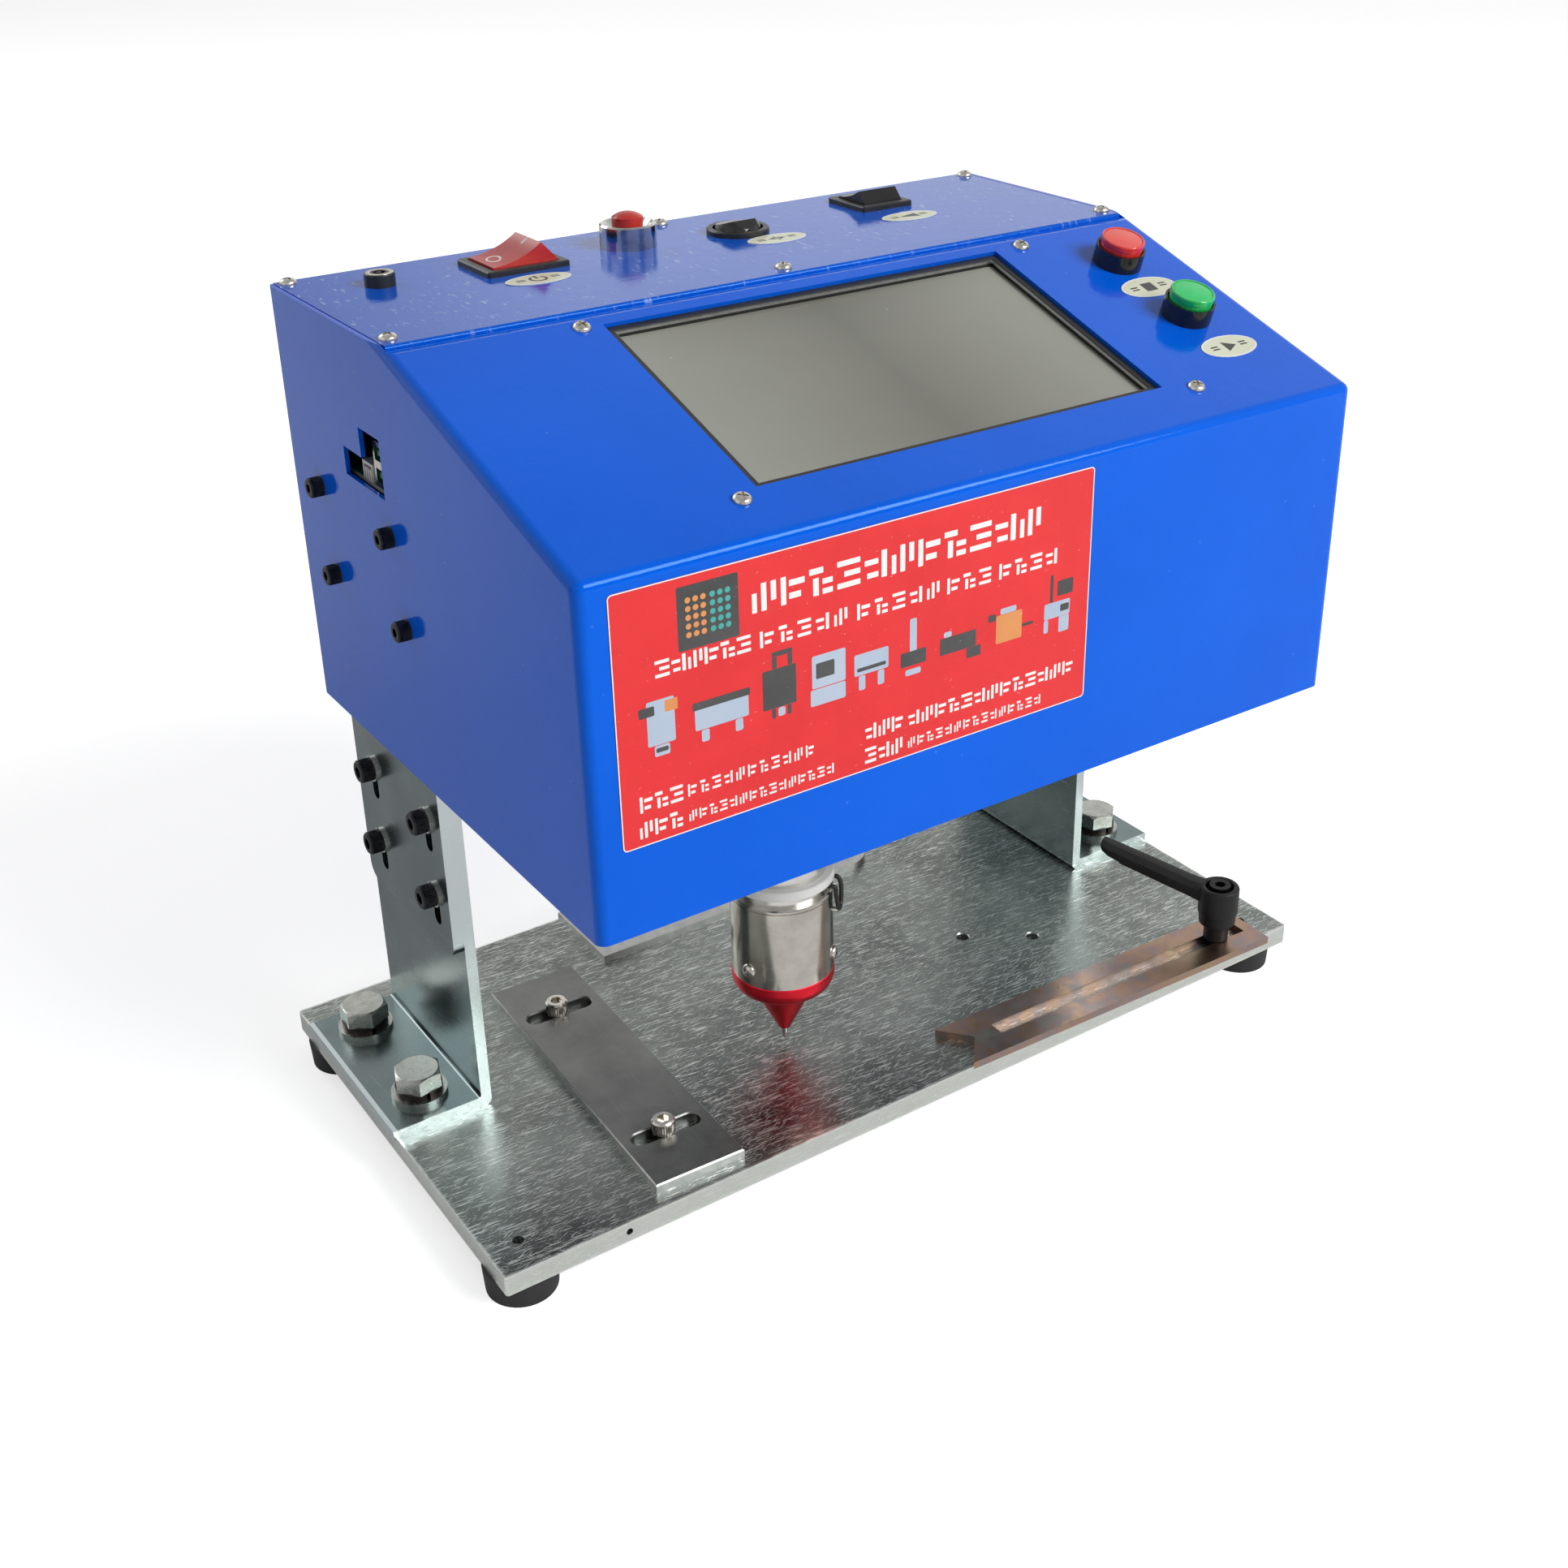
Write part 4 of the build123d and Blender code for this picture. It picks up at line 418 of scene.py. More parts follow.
def steelFinish(name, light, dark, rough, cloud, stroke, edge=None, peel=0.0):
    # metal with soft blotches and strokes; on a box, a painted reflection on its upright sides and a painted
    # highlight with wear along its edges
    mat, tree, place = openFinish(name, Metallic=1.0)
    blotch = use(tree, clouds, Vector=place, **cloud)
    colour = blend(tree, blotch, dark, light)
    marks = None
    for length, width, angle, limit in stroke["rows"]:
        mask = use(tree, strokes, Vector=place, Length=length, Width=width, Angle=angle, Limit=limit)
        marks = mask if marks is None else calc(tree, "MAXIMUM", marks, mask)
    marked = times(tree, marks, stroke["share"])
    colour = blend(tree, marked, colour, stroke["colour"])
    if edge:
        if "turn" in edge:
            back = {"Vector": place, "Center": edge["middle"], "Angle": edge["turn"]}
            place = put(tree, "ShaderNodeVectorRotate", back, rotation_type="Z_AXIS").outputs[0]
        edgeWearAndHighlight = use(tree, edges, Vector=place, Low=edge["low"], High=edge["high"], Width=edge["width"])
        sideSheen = edgeWearAndHighlight.node.outputs["SideSheen"]
        broken = use(tree, clouds, Vector=place, Size=steelValues["chips"], Low=0.3, High=0.6)
        # painted reflection: the upright sides of the box lighter
        colour = blend(tree, times(tree, sideSheen, steelValues["sideSheenShare"]), colour, edge["sideSheen"])
        # painted highlight along the edges, broken by wear chips
        colour = blend(tree, times(tree, edgeWearAndHighlight, broken), colour, edge["colour"])
    roughness = span(tree, blotch, 0, 1, *rough)
    roughness = plus(tree, roughness, times(tree, marks, steelValues["markRoughness"]))
    fine = use(tree, clouds, Vector=place, Size=steelValues["grain"])
    height = plus(tree, marks, times(tree, fine, peel))
    return closeFinish(mat, colour, roughness, height, stroke["depth"])


paintValues = {
    "constants": {"IOR": 1.5, "Specular_IOR_Level": 0.36, "Specular_Tint": rgb(0.3, 0.6, 1)},
    "blotch": 0.09,
    "dust": {"Pitch": 0.011, "Size": 0.05},
    "dustShare": 0.25,
    "dustColour": rgb(0.2, 0.35, 0.75),
    "roughSize": 0.02,
    "roughSpread": 1.6,
    "streak": {"Length": 0.0019, "Width": 0.0062, "Angle": 0.12, "Limit": 0.6, "Softness": 0.09},
    "patch": {"Size": 0.03, "Low": 0.42, "High": 0.62},
    "streakColour": rgb(0.55, 0.66, 0.85),
    "streakRoughness": 0.3,
    "widePeel": 0.0055,
    "closePeel": 0.0016,
    "closeShare": 0.35,
    "depth": 0.00004,
}


def paintFinish(name, colour, deep, rough=0.045, streaks=0.0):
    # glossy coat with orange peel, faint dust and, on the roof, pale streaks
    v = paintValues
    mat, tree, place = openFinish(name, Metallic=0.0, **v["constants"])
    blotch = use(tree, clouds, Vector=place, Size=v["blotch"])
    shade = blend(tree, blotch, deep, colour)
    dust = times(tree, use(tree, specks, Vector=place, **v["dust"]), v["dustShare"])
    shade = blend(tree, dust, shade, v["dustColour"])
    patchy = use(tree, clouds, Vector=place, Size=v["roughSize"])
    roughness = span(tree, patchy, 0, 1, rough, rough * v["roughSpread"])
    if streaks:
        run = use(tree, strokes, Vector=place, **v["streak"])
        run = times(tree, run, use(tree, clouds, Vector=place, **v["patch"]))
        run = times(tree, run, streaks)
        shade = blend(tree, run, shade, v["streakColour"])
        roughness = plus(tree, roughness, times(tree, run, v["streakRoughness"]))
    wide = use(tree, clouds, Vector=place, Size=v["widePeel"], Low=0.2, High=0.8)
    close = use(tree, clouds, Vector=place, Size=v["closePeel"], Low=0.2, High=0.8)
    peel = plus(tree, wide, times(tree, close, v["closeShare"]))
    return closeFinish(mat, shade, roughness, peel, v["depth"])


plasticValues = {
    "blotch": {"Size": 0.012, "Low": 0.3, "High": 0.75},
    "dust": {"Pitch": 0.004, "Size": 0.06},
    "dustShare": 0.2,
    "dustColour": rgb(0.4, 0.4, 0.38),
    "roughSpread": (0.85, 1.15),
}


def plasticFinish(name, colour, pale, rough, grain=0.0006, depth=0.00002, **constants):
    # moulded plastic: soft mottle, a little dust and a fine grain
    mat, tree, place = openFinish(name, **constants)
    blotch = use(tree, clouds, Vector=place, **plasticValues["blotch"])
    shade = blend(tree, blotch, colour, pale)
    dust = use(tree, specks, Vector=place, **plasticValues["dust"])
    dust = times(tree, dust, plasticValues["dustShare"])
    shade = blend(tree, dust, shade, plasticValues["dustColour"])
    low, high = plasticValues["roughSpread"]
    roughness = span(tree, blotch, 0, 1, rough * low, rough * high)
    height = use(tree, clouds, Vector=place, Size=grain, Low=0.25, High=0.75)
    return closeFinish(mat, shade, roughness, height, depth)


turnedValues = {
    "arc": 0.2,
    "blotch": {"Size": 0.01, "Low": 0.35, "High": 0.65},
    "stain": {"Pitch": 0.005, "Size": 0.09},
    "stainShare": 0.35,
    "roughSpread": (0.8, 1.3),
}


def turnedFinish(name, light, dark, rough, ring=0.0004, depth=0.000003):
    # turned metal: fine rings along the upright axis
    mat, tree, place = openFinish(name, Metallic=1.0)
    lines = stretched(tree, place, turnedValues["arc"], turnedValues["arc"], ring)
    noise = put(tree, "ShaderNodeTexNoise", {"Vector": lines, "Scale": 1.0, "Detail": 2.0}).outputs[0]
    blotch = use(tree, clouds, Vector=place, **turnedValues["blotch"])
    stain = use(tree, specks, Vector=place, **turnedValues["stain"])
    stain = times(tree, stain, turnedValues["stainShare"])
    shade = blend(tree, blotch, dark, light)
    shade = blend(tree, stain, shade, dark)
    low, high = turnedValues["roughSpread"]
    roughness = span(tree, noise, 0.3, 0.7, rough * low, rough * high)
    return closeFinish(mat, shade, roughness, noise, depth)


filmValues = {
    "blotch": {"Size": 0.025},
    "rub": {"Length": 0.012, "Width": 0.0009, "Angle": 0.5, "Limit": 0.68},
    "rubShare": 0.2,
    "rubColour": rgb(0.9, 0.85, 0.8),
    "roughSpread": 1.3,
    "wave": 0.008,
    "depth": 0.00003,
}


def filmFinish(name, colour, edgeWearAndHighlight, rough):
    # printed film: slight mottle, rubbed spots and soft waviness
    mat, tree, place = openFinish(name)
    blotch = use(tree, clouds, Vector=place, **filmValues["blotch"])
    rubbed = times(tree, use(tree, strokes, Vector=place, **filmValues["rub"]), filmValues["rubShare"])
    shade = blend(tree, blotch, colour, edgeWearAndHighlight)
    shade = blend(tree, rubbed, shade, filmValues["rubColour"])
    roughness = span(tree, blotch, 0, 1, rough, rough * filmValues["roughSpread"])
    wave = use(tree, clouds, Vector=place, Size=filmValues["wave"], Low=0.2, High=0.8)
    return closeFinish(mat, shade, roughness, wave, filmValues["depth"])


lensValues = {
    "constants": {
        "IOR": 1.49,
        "Subsurface_Weight": 0.35,
        "Subsurface_Radius": (0.004, 0.002, 0.002),
        "Coat_Weight": 0.4,
        "Coat_Roughness": 0.05,
    },
    "blotch": {"Size": 0.003, "Low": 0.35},
    "roughSpread": 2,
    "wave": 0.001,
    "depth": 0.00001,
}


def lensFinish(name, colour, pale, rough=0.12):
    # moulded clear plastic with a cloudy inside
    v = lensValues
    mat, tree, place = openFinish(name, **v["constants"])
    blotch = use(tree, clouds, Vector=place, **v["blotch"])
    shade = blend(tree, blotch, colour, pale)
    roughness = span(tree, blotch, 0, 1, rough, rough * v["roughSpread"])
    wave = use(tree, clouds, Vector=place, Size=v["wave"], Low=0.2, High=0.8)
    return closeFinish(mat, shade, roughness, wave, v["depth"])


passivatedValues = {
    "stops": [
        (0.0, rgb(0.3, 0.24, 0.16)),
        (0.3, rgb(0.4, 0.3, 0.2)),
        (0.48, rgb(0.42, 0.27, 0.2)),
        (0.62, rgb(0.33, 0.26, 0.26)),
        (0.76, rgb(0.3, 0.33, 0.24)),
        (1.0, rgb(0.5, 0.42, 0.25)),
    ],
    "wideShare": 0.75,
    "scuff": {"Length": 0.006, "Width": 0.0005, "Angle": 0.3, "Limit": 0.66},
    "scuffShare": 0.35,
    "scuffColour": rgb(0.5, 0.46, 0.38),
    "rough": (0.26, 0.4),
    "depth": 0.000008,
}


def passivatedFinish(name):
    # yellow zinc: bands of straw, violet and green over bronze
    v = passivatedValues
    mat, tree, place = openFinish(name, Metallic=1.0)
    wide = use(tree, clouds, Vector=place, Size=0.035, Low=0.25, High=0.75)
    small = use(tree, clouds, Vector=place, Size=0.007)
    share = v["wideShare"]
    mixed = plus(tree, times(tree, wide, share), times(tree, small, 1 - share))
    ramp = put(tree, "ShaderNodeValToRGB", {0: mixed})
    stops = v["stops"]
    line = ramp.color_ramp.elements
    line[0].position, line[0].color = stops[0]
    line[1].position, line[1].color = stops[-1]
    for position, colour in stops[1:-1]:
        line.new(position).color = colour
    scuff = use(tree, strokes, Vector=place, **v["scuff"])
    shade = blend(tree, times(tree, scuff, v["scuffShare"]), ramp.outputs[0], v["scuffColour"])
    roughness = span(tree, small, 0, 1, *v["rough"])
    return closeFinish(mat, shade, roughness, plus(tree, scuff, small), v["depth"])


screenFilm = {
    "dark": lit(120, 120, 112),
    "pale": lit(160, 161, 151),
    "wide": 0.12,
    "wideShare": 0.25,
    "reach": 0.085,
    "fleck": {"Pitch": 0.02, "Size": 0.035},
    "fleckShare": 0.35,
    "fleckColour": rgb(0.6, 0.6, 0.55),
    "rough": (0.36, 0.42),
    "grain": 0.0003,
    "depth": 0.000004,
}


def screenFinish(name):
    # matt display film: olive grey, darker at its middle, a few pale flecks
    v = screenFilm
    mat, tree, place = openFinish(name, IOR=1.45)
    wide = use(tree, clouds, Vector=place, Size=v["wide"], Low=0.25, High=0.75)
    aside = span(tree, calc(tree, "ABSOLUTE", partsOf(tree, place)[0]), 0.0, v["reach"])
    aside = plus(tree, aside, times(tree, wide, v["wideShare"]))
    shade = blend(tree, span(tree, aside, 0.1, 1.1), v["dark"], v["pale"])
    fleck = times(tree, use(tree, specks, Vector=place, **v["fleck"]), v["fleckShare"])
    shade = blend(tree, fleck, shade, v["fleckColour"])
    roughness = span(tree, wide, 0, 1, *v["rough"])
    grain = use(tree, clouds, Vector=place, Size=v["grain"], Low=0.2, High=0.8)
    return closeFinish(mat, shade, roughness, grain, v["depth"])


windingValues = {"phasePerMetre": 12000.0, "rough": (0.5, 0.3), "depth": 0.00006}


def windingFinish(name, colour, dark):
    # fine wire turns round an upright axis, with painted shade in the grooves between turns
    mat, tree, place = openFinish(name, Metallic=0.7)
    height = partsOf(tree, place)[2]
    turn = calc(tree, "SINE", times(tree, height, windingValues["phasePerMetre"]))
    # painted shade: the colour goes dark in the grooves between turns
    shade = blend(tree, span(tree, turn, -1, 1), dark, colour)
    roughness = span(tree, turn, -1, 1, *windingValues["rough"])
    return closeFinish(mat, shade, roughness, turn, windingValues["depth"])


baseLow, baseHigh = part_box("base_plate")
bracketLow, bracketHigh = baseLow.copy(), baseHigh.copy()
bracketLow.y, bracketHigh.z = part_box("left_bracket")[0].y, 1.0
barMiddle = (deck + Vector((barX, barY, 6))) * mm
barHalf = Vector((17.5, 68.5, 2)) * mm
barEdge = {
    "low": barMiddle - barHalf,
    "high": barMiddle + barHalf,
    "middle": barMiddle,
    "turn": math.radians(barTurn),
    "width": 0.0006,
    # painted highlight with wear along the edges, then a painted reflection on the upright sides
    "colour": rgb(0.5, 0.5, 0.49),
    "sideSheen": rgb(0.42, 0.43, 0.43),
}
finishes = {
    "zinc_steel": steelFinish(
        "zincBase",
        rgb(0.31, 0.335, 0.315),
        rgb(0.09, 0.1, 0.095),
        (0.24, 0.36),
        {"Size": 0.06},
        {
            "rows": [
                (0.0075, 0.00055, 0.06, 0.56),
                (0.005, 0.0005, -0.45, 0.6),
                (0.004, 0.0005, 0.75, 0.62),
            ],
            "share": 0.9,
            "colour": rgb(0.7, 0.73, 0.7),
            "depth": 0.00003,
        },
        {
            "low": baseLow,
            "high": baseHigh,
            "width": 0.0012,
            # painted highlight with wear along the edges, then a painted reflection on the upright sides
            "colour": rgb(0.85, 0.87, 0.83),
            "sideSheen": rgb(0.8, 0.83, 0.78),
        },
        0.5,
    ),
    "zinc_bracket": steelFinish(
        "zincBracket",
        rgb(0.24, 0.29, 0.29),
        rgb(0.13, 0.17, 0.175),
        (0.2, 0.3),
        {"Size": 0.05},
        {"rows": [(0.02, 0.0008, 1.5, 0.66)], "share": 0.25, "colour": rgb(0.5, 0.56, 0.55), "depth": 0.000008},
        {
            "low": bracketLow,
            "high": bracketHigh,
            "width": 0.0005,
            # painted highlight with wear along the edges, then a painted reflection on the upright sides
            "colour": rgb(0.8, 0.86, 0.86),
            "sideSheen": rgb(0.72, 0.8, 0.8),
        },
        0.6,
    ),
    "zinc_bolt": steelFinish(
        "zincBolt",
        rgb(0.56, 0.56, 0.52),
        rgb(0.36, 0.37, 0.34),
        (0.22, 0.36),
        {"Size": 0.004},
        {"rows": [(0.002, 0.0005, 0.6, 0.62)], "share": 0.4, "colour": rgb(0.75, 0.75, 0.7), "depth": 0.00003},
        None,
        0.8,
    ),
    "black_steel": steelFinish(
        "blackWasher",
        rgb(0.07, 0.06, 0.055),
        rgb(0.02, 0.02, 0.02),
        (0.3, 0.45),
        {"Size": 0.004},
        {"rows": [(0.003, 0.0006, 0.2, 0.66)], "share": 0.4, "colour": rgb(0.25, 0.2, 0.15), "depth": 0.00001},
    ),
    "black_screw": steelFinish(
        "blackScrew",
        rgb(0.05, 0.05, 0.052),
        rgb(0.018, 0.018, 0.02),
        (0.38, 0.55),
        {"Size": 0.003, "Low": 0.35},
        {"rows": [(0.0015, 0.0004, 0.2, 0.68)], "share": 0.4, "colour": rgb(0.16, 0.15, 0.14), "depth": 0.00001},
    ),
    "dark_steel": steelFinish(
        "millSteel",
        rgb(0.26, 0.26, 0.25),
        rgb(0.13, 0.135, 0.13),
        (0.34, 0.46),
        {"Size": 0.03},
        {
            "rows": [(0.02, 0.0005, 1.6, 0.63), (0.006, 0.0004, 0.5, 0.69)],
            "share": 0.3,
            "colour": rgb(0.36, 0.36, 0.35),
            "depth": 0.00001,
        },
        barEdge,
        0.7,
    ),
    "yellow_zinc": passivatedFinish("yellowZinc"),
    "nickel": steelFinish(
        "nickelScrew",
        rgb(0.74, 0.71, 0.65),
        rgb(0.5, 0.47, 0.42),
        (0.16, 0.28),
        {"Size": 0.002},
        {"rows": [(0.001, 0.0003, 0.4, 0.66)], "share": 0.4, "colour": rgb(0.85, 0.83, 0.78), "depth": 0.000006},
    ),
    "chrome": turnedFinish("chromeRing", rgb(0.72, 0.7, 0.66), rgb(0.36, 0.35, 0.34), 0.09, 0.0012, 0.000008),
    "rubber_black": plasticFinish(
        "rubberFoot", rgb(0.012, 0.012, 0.013), rgb(0.03, 0.03, 0.03), 0.7, 0.0008, 0.00005
    ),
    "blue_paint": paintFinish("bluePaint", rgb(0.0, 0.125, 0.8), rgb(0.0, 0.108, 0.72)),
    "lever_plastic": plasticFinish(
        "leverPlastic", rgb(0.008, 0.008, 0.009), rgb(0.014, 0.014, 0.014), 0.5, 0.0007, 0.00003,
        Specular_IOR_Level=0.3,
    ),
    "black_plastic": plasticFinish("blackPlastic", rgb(0.01, 0.01, 0.01), rgb(0.02, 0.02, 0.02), 0.4),
    "black_gloss": plasticFinish(
        "blackGloss", rgb(0.01, 0.01, 0.011), rgb(0.018, 0.018, 0.018), 0.16, 0.002, 0.00001
    ),
    "red_plastic": plasticFinish(
        "redPlastic", rgb(0.5, 0.02, 0.016), rgb(0.62, 0.035, 0.025), 0.24, 0.0015, 0.00001,
        Subsurface_Weight=0.2, Subsurface_Radius=(0.004, 0.001, 0.001),
    ),
    "red_clear": lensFinish("redLens", rgb(0.78, 0.02, 0.014), rgb(0.86, 0.05, 0.035)),
    "green_clear": lensFinish("greenLens", rgb(0.004, 0.5, 0.08), rgb(0.015, 0.62, 0.14)),
    "pale_label": filmFinish("paleFilm", rgb(0.78, 0.8, 0.62), rgb(0.73, 0.75, 0.57), 0.3),
    "red_label": filmFinish("redFilm", lit(238, 42, 46), lit(226, 34, 38), 0.3),
    "screen_glass": screenFinish("screenFilm"),
    "green_board": plasticFinish("boardMask", rgb(0.01, 0.12, 0.05), rgb(0.02, 0.18, 0.08), 0.3),
    "brass": turnedFinish("brassPost", rgb(0.7, 0.52, 0.25), rgb(0.55, 0.4, 0.18), 0.3),
    "machined_aluminium": steelFinish(
        "milledAluminium",
        rgb(0.72, 0.73, 0.74),
        rgb(0.58, 0.59, 0.6),
        (0.25, 0.36),
        {"Size": 0.02},
        {"rows": [(0.03, 0.0006, 0.0, 0.55)], "share": 0.4, "colour": rgb(0.8, 0.8, 0.8), "depth": 0.000006},
    ),
    "rail_steel": turnedFinish("groundRail", rgb(0.75, 0.76, 0.77), rgb(0.62, 0.63, 0.64), 0.12),
    "motor_black": plasticFinish("motorPaint", rgb(0.015, 0.015, 0.016), rgb(0.03, 0.03, 0.03), 0.35),
    "bright_tube": turnedFinish("drawnTube", rgb(0.85, 0.84, 0.8), rgb(0.72, 0.71, 0.67), 0.22),
    "white_nylon": plasticFinish(
        "milkyNylon", rgb(0.86, 0.86, 0.83), rgb(0.92, 0.92, 0.9), 0.35, 0.001, 0.00001,
        Subsurface_Weight=0.15, Subsurface_Radius=(0.001, 0.001, 0.001),
    ),
    "nickel_barrel": turnedFinish("nickelBarrel", rgb(0.66, 0.63, 0.57), rgb(0.52, 0.49, 0.44), 0.16),
    "red_anodised": turnedFinish(
        "redAnodised", rgb(0.92, 0.03, 0.055), rgb(0.8, 0.02, 0.04), 0.34, 0.0003, 0.000004
    ),
    "copper_coil": windingFinish("copperWinding", rgb(0.6, 0.25, 0.1), rgb(0.25, 0.08, 0.03)),
    "cable_black": plasticFinish(
        "cableJacket", rgb(0.01, 0.01, 0.01), rgb(0.02, 0.02, 0.02), 0.35, 0.0008, 0.00001
    ),
    "spring_steel": windingFinish("springTurns", rgb(0.55, 0.55, 0.56), rgb(0.2, 0.2, 0.2)),
    "hard_steel": turnedFinish("hardPin", rgb(0.6, 0.59, 0.57), rgb(0.42, 0.41, 0.4), 0.2),
}
coverPaint = paintFinish("coverPaint", rgb(0.0, 0.11, 0.66), rgb(0.0, 0.095, 0.58), 0.06, 0.5)
whiteInk = filmFinish("whiteInk", rgb(0.93, 0.93, 0.91), rgb(0.87, 0.87, 0.85), 0.35)
darkInk = filmFinish("darkInk", rgb(0.05, 0.05, 0.05), rgb(0.08, 0.08, 0.08), 0.4)
orangeInk = filmFinish("orangeInk", rgb(0.8, 0.32, 0.1), rgb(0.72, 0.28, 0.08), 0.35)
tealInk = filmFinish("tealInk", rgb(0.06, 0.45, 0.4), rgb(0.05, 0.38, 0.34), 0.35)
paleBlueInk = filmFinish("paleBlueInk", rgb(0.42, 0.52, 0.66), rgb(0.5, 0.58, 0.7), 0.35)
greyInk = filmFinish("greyInk", rgb(0.42, 0.44, 0.45), rgb(0.5, 0.52, 0.53), 0.4)
whitePlastic = plasticFinish("whitePlastic", rgb(0.78, 0.77, 0.72), rgb(0.85, 0.84, 0.8), 0.4)
paleEdge = plasticFinish("paleEdge", rgb(0.6, 0.57, 0.45), rgb(0.68, 0.65, 0.54), 0.6)
finishes["red_disc"] = lensFinish("redDisc", rgb(0.85, 0.09, 0.07), rgb(0.9, 0.13, 0.1), 0.3)
finishes["green_disc"] = lensFinish("greenDisc", rgb(0.01, 0.58, 0.13), rgb(0.03, 0.68, 0.2), 0.3)

for name, node in nodes.items():
    node.data.materials.clear()
    node.data.materials.append(finishes[slotOf[name]])
nodes["top_cover"].data.materials[0] = coverPaint
print("finishes made:", len(finishes))


# mesh helpers, in local millimetres until they are placed


def asPiece(name, bm, placed, material, angle):
    # closed faces outward, place in the mesh, object at the origin
    bmesh.ops.remove_doubles(bm, verts=bm.verts, dist=0.0005)
    bm.transform(placed)
    bmesh.ops.recalc_face_normals(bm, faces=bm.faces)
    mesh = bpy.data.meshes.new(name)
    bm.to_mesh(mesh)
    bm.free()
    return linkMesh(name, mesh, material, angle)


def linkMesh(name, mesh, material, angle=30):
    # edges sharper than the angle stay sharp
    mesh.materials.clear()
    mesh.materials.append(material)
    mesh.shade_smooth()
    mesh.set_sharp_from_angle(angle=math.radians(angle))
    piece = bpy.data.objects.new(name, mesh)
    link(piece)
    return piece


def fit(piece, body, slotName, *replaced):
    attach(piece, body)
    if replaced:
        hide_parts(*replaced)
    return piece


def addPiece(name, bm, placed, body, slotName, *replaced, finish=None, angle=30):
    # a form as a piece with the finish of its slot, or one of its own
    piece = asPiece(name, bm, placed, finish or finishes[slotName], angle)
    return fit(piece, body, slotName, *replaced)


def turned(bm, profile, steps=56):
    # closed solid turned about local Z from pairs of radius and height that start and end on the axis
    rings = []
    for radius, height in profile:
        count = steps if radius > 0.0001 else 1
        angles = [math.tau * k / steps for k in range(count)]
        rings.append([bm.verts.new((radius * math.cos(a), radius * math.sin(a), height)) for a in angles])
    for low, high in zip(rings, rings[1:]):
        for k in range(steps):
            n = (k + 1) % steps
            corners = [low[k % len(low)], low[n % len(low)], high[n % len(high)], high[k % len(high)]]
            corners = list(dict.fromkeys(corners))
            if len(corners) > 2:
                bm.faces.new(corners)


def ringed(bm, profile, steps=56):
    # closed ring turned about local Z from a loop of radius and height
    loops = []
    for k in range(steps):
        a = math.tau * k / steps
        loops.append([bm.verts.new((r * math.cos(a), r * math.sin(a), z)) for r, z in profile])
    for a, b in zip(loops, loops[1:] + loops[:1]):
        for k in range(len(profile)):
            n = (k + 1) % len(profile)
            bm.faces.new((a[k], b[k], b[n], a[n]))


def slab(bm, outline, low, high):
    # flat solid of an outline, between two heights
    top = [bm.verts.new((x, y, high)) for x, y in outline]
    base = [bm.verts.new((x, y, low)) for x, y in outline]
    bm.faces.new(top)
    bm.faces.new(list(reversed(base)))
    for k in range(len(outline)):
        n = (k + 1) % len(outline)
        bm.faces.new((base[k], base[n], top[n], top[k]))


def rimSlab(bm, outer, inner, low, high):
    # flat ring between two outlines of as many points
    edgeLines = ((outer, low), (outer, high), (inner, high), (inner, low))
    sets = [[bm.verts.new((x, y, z)) for x, y in line] for line, z in edgeLines]
    for a, b in zip(sets, sets[1:] + sets[:1]):
        for k in range(len(outer)):
            n = (k + 1) % len(outer)
            bm.faces.new((a[k], a[n], b[n], b[k]))


def oval(x, y, width, height, count, start=0.0, sweep=math.tau):
    angles = [start + sweep * k / count for k in range(count)]
    return [(x + width / 2 * math.cos(a), y + height / 2 * math.sin(a)) for a in angles]


def tile(x, y, width, height, corner, steps=4):
    # rounded rectangle from its lower left corner
    line = []
    for cx, cy, quarter in (
        (x + width - corner, y + height - corner, 0),
        (x + corner, y + height - corner, 1),
        (x + corner, y + corner, 2),
        (x + width - corner, y + corner, 3),
    ):
        for k in range(steps + 1):
            a = math.pi / 2 * (quarter + k / steps)
            line.append((cx + corner * math.cos(a), cy + corner * math.sin(a)))
    return line


def block(bm, low, high):
    # box between two corners
    for v in bmesh.ops.create_cube(bm, size=1)["verts"]:
        v.co = Vector([low[k] if v.co[k] < 0 else high[k] for k in range(3)])


def drape(bm, placed, nodeName, above=30):
    # heights of a flat form laid onto a node's surface from above
    mesh = nodes[nodeName].data
    tree = BVHTree.FromPolygons([v.co for v in mesh.vertices], [p.vertices for p in mesh.polygons])
    back = placed.inverted()
    down = -(placed.to_3x3() @ Vector((0, 0, 1))).normalized()
    for v in bm.verts:
        hit = tree.ray_cast(placed @ Vector((v.co.x, v.co.y, above)), down)[0]
        if hit:
            v.co.z += (back @ hit).z


# Geometry Nodes for what repeats


def startTree(name, inputs):
    tree = bpy.data.node_groups.new(name, "GeometryNodeTree")
    tree.interface.new_socket(name="Geometry", in_out="INPUT", socket_type="NodeSocketGeometry")
    for label, kind, default in inputs:
        socket = tree.interface.new_socket(name=label, in_out="INPUT", socket_type=kind)
        socket.default_value = default
    tree.interface.new_socket(name="Material", in_out="INPUT", socket_type="NodeSocketMaterial")
    tree.interface.new_socket(name="Geometry", in_out="OUTPUT", socket_type="NodeSocketGeometry")
    return tree, tree.nodes.new("NodeGroupInput").outputs, tree.nodes.new("NodeGroupOutput").inputs


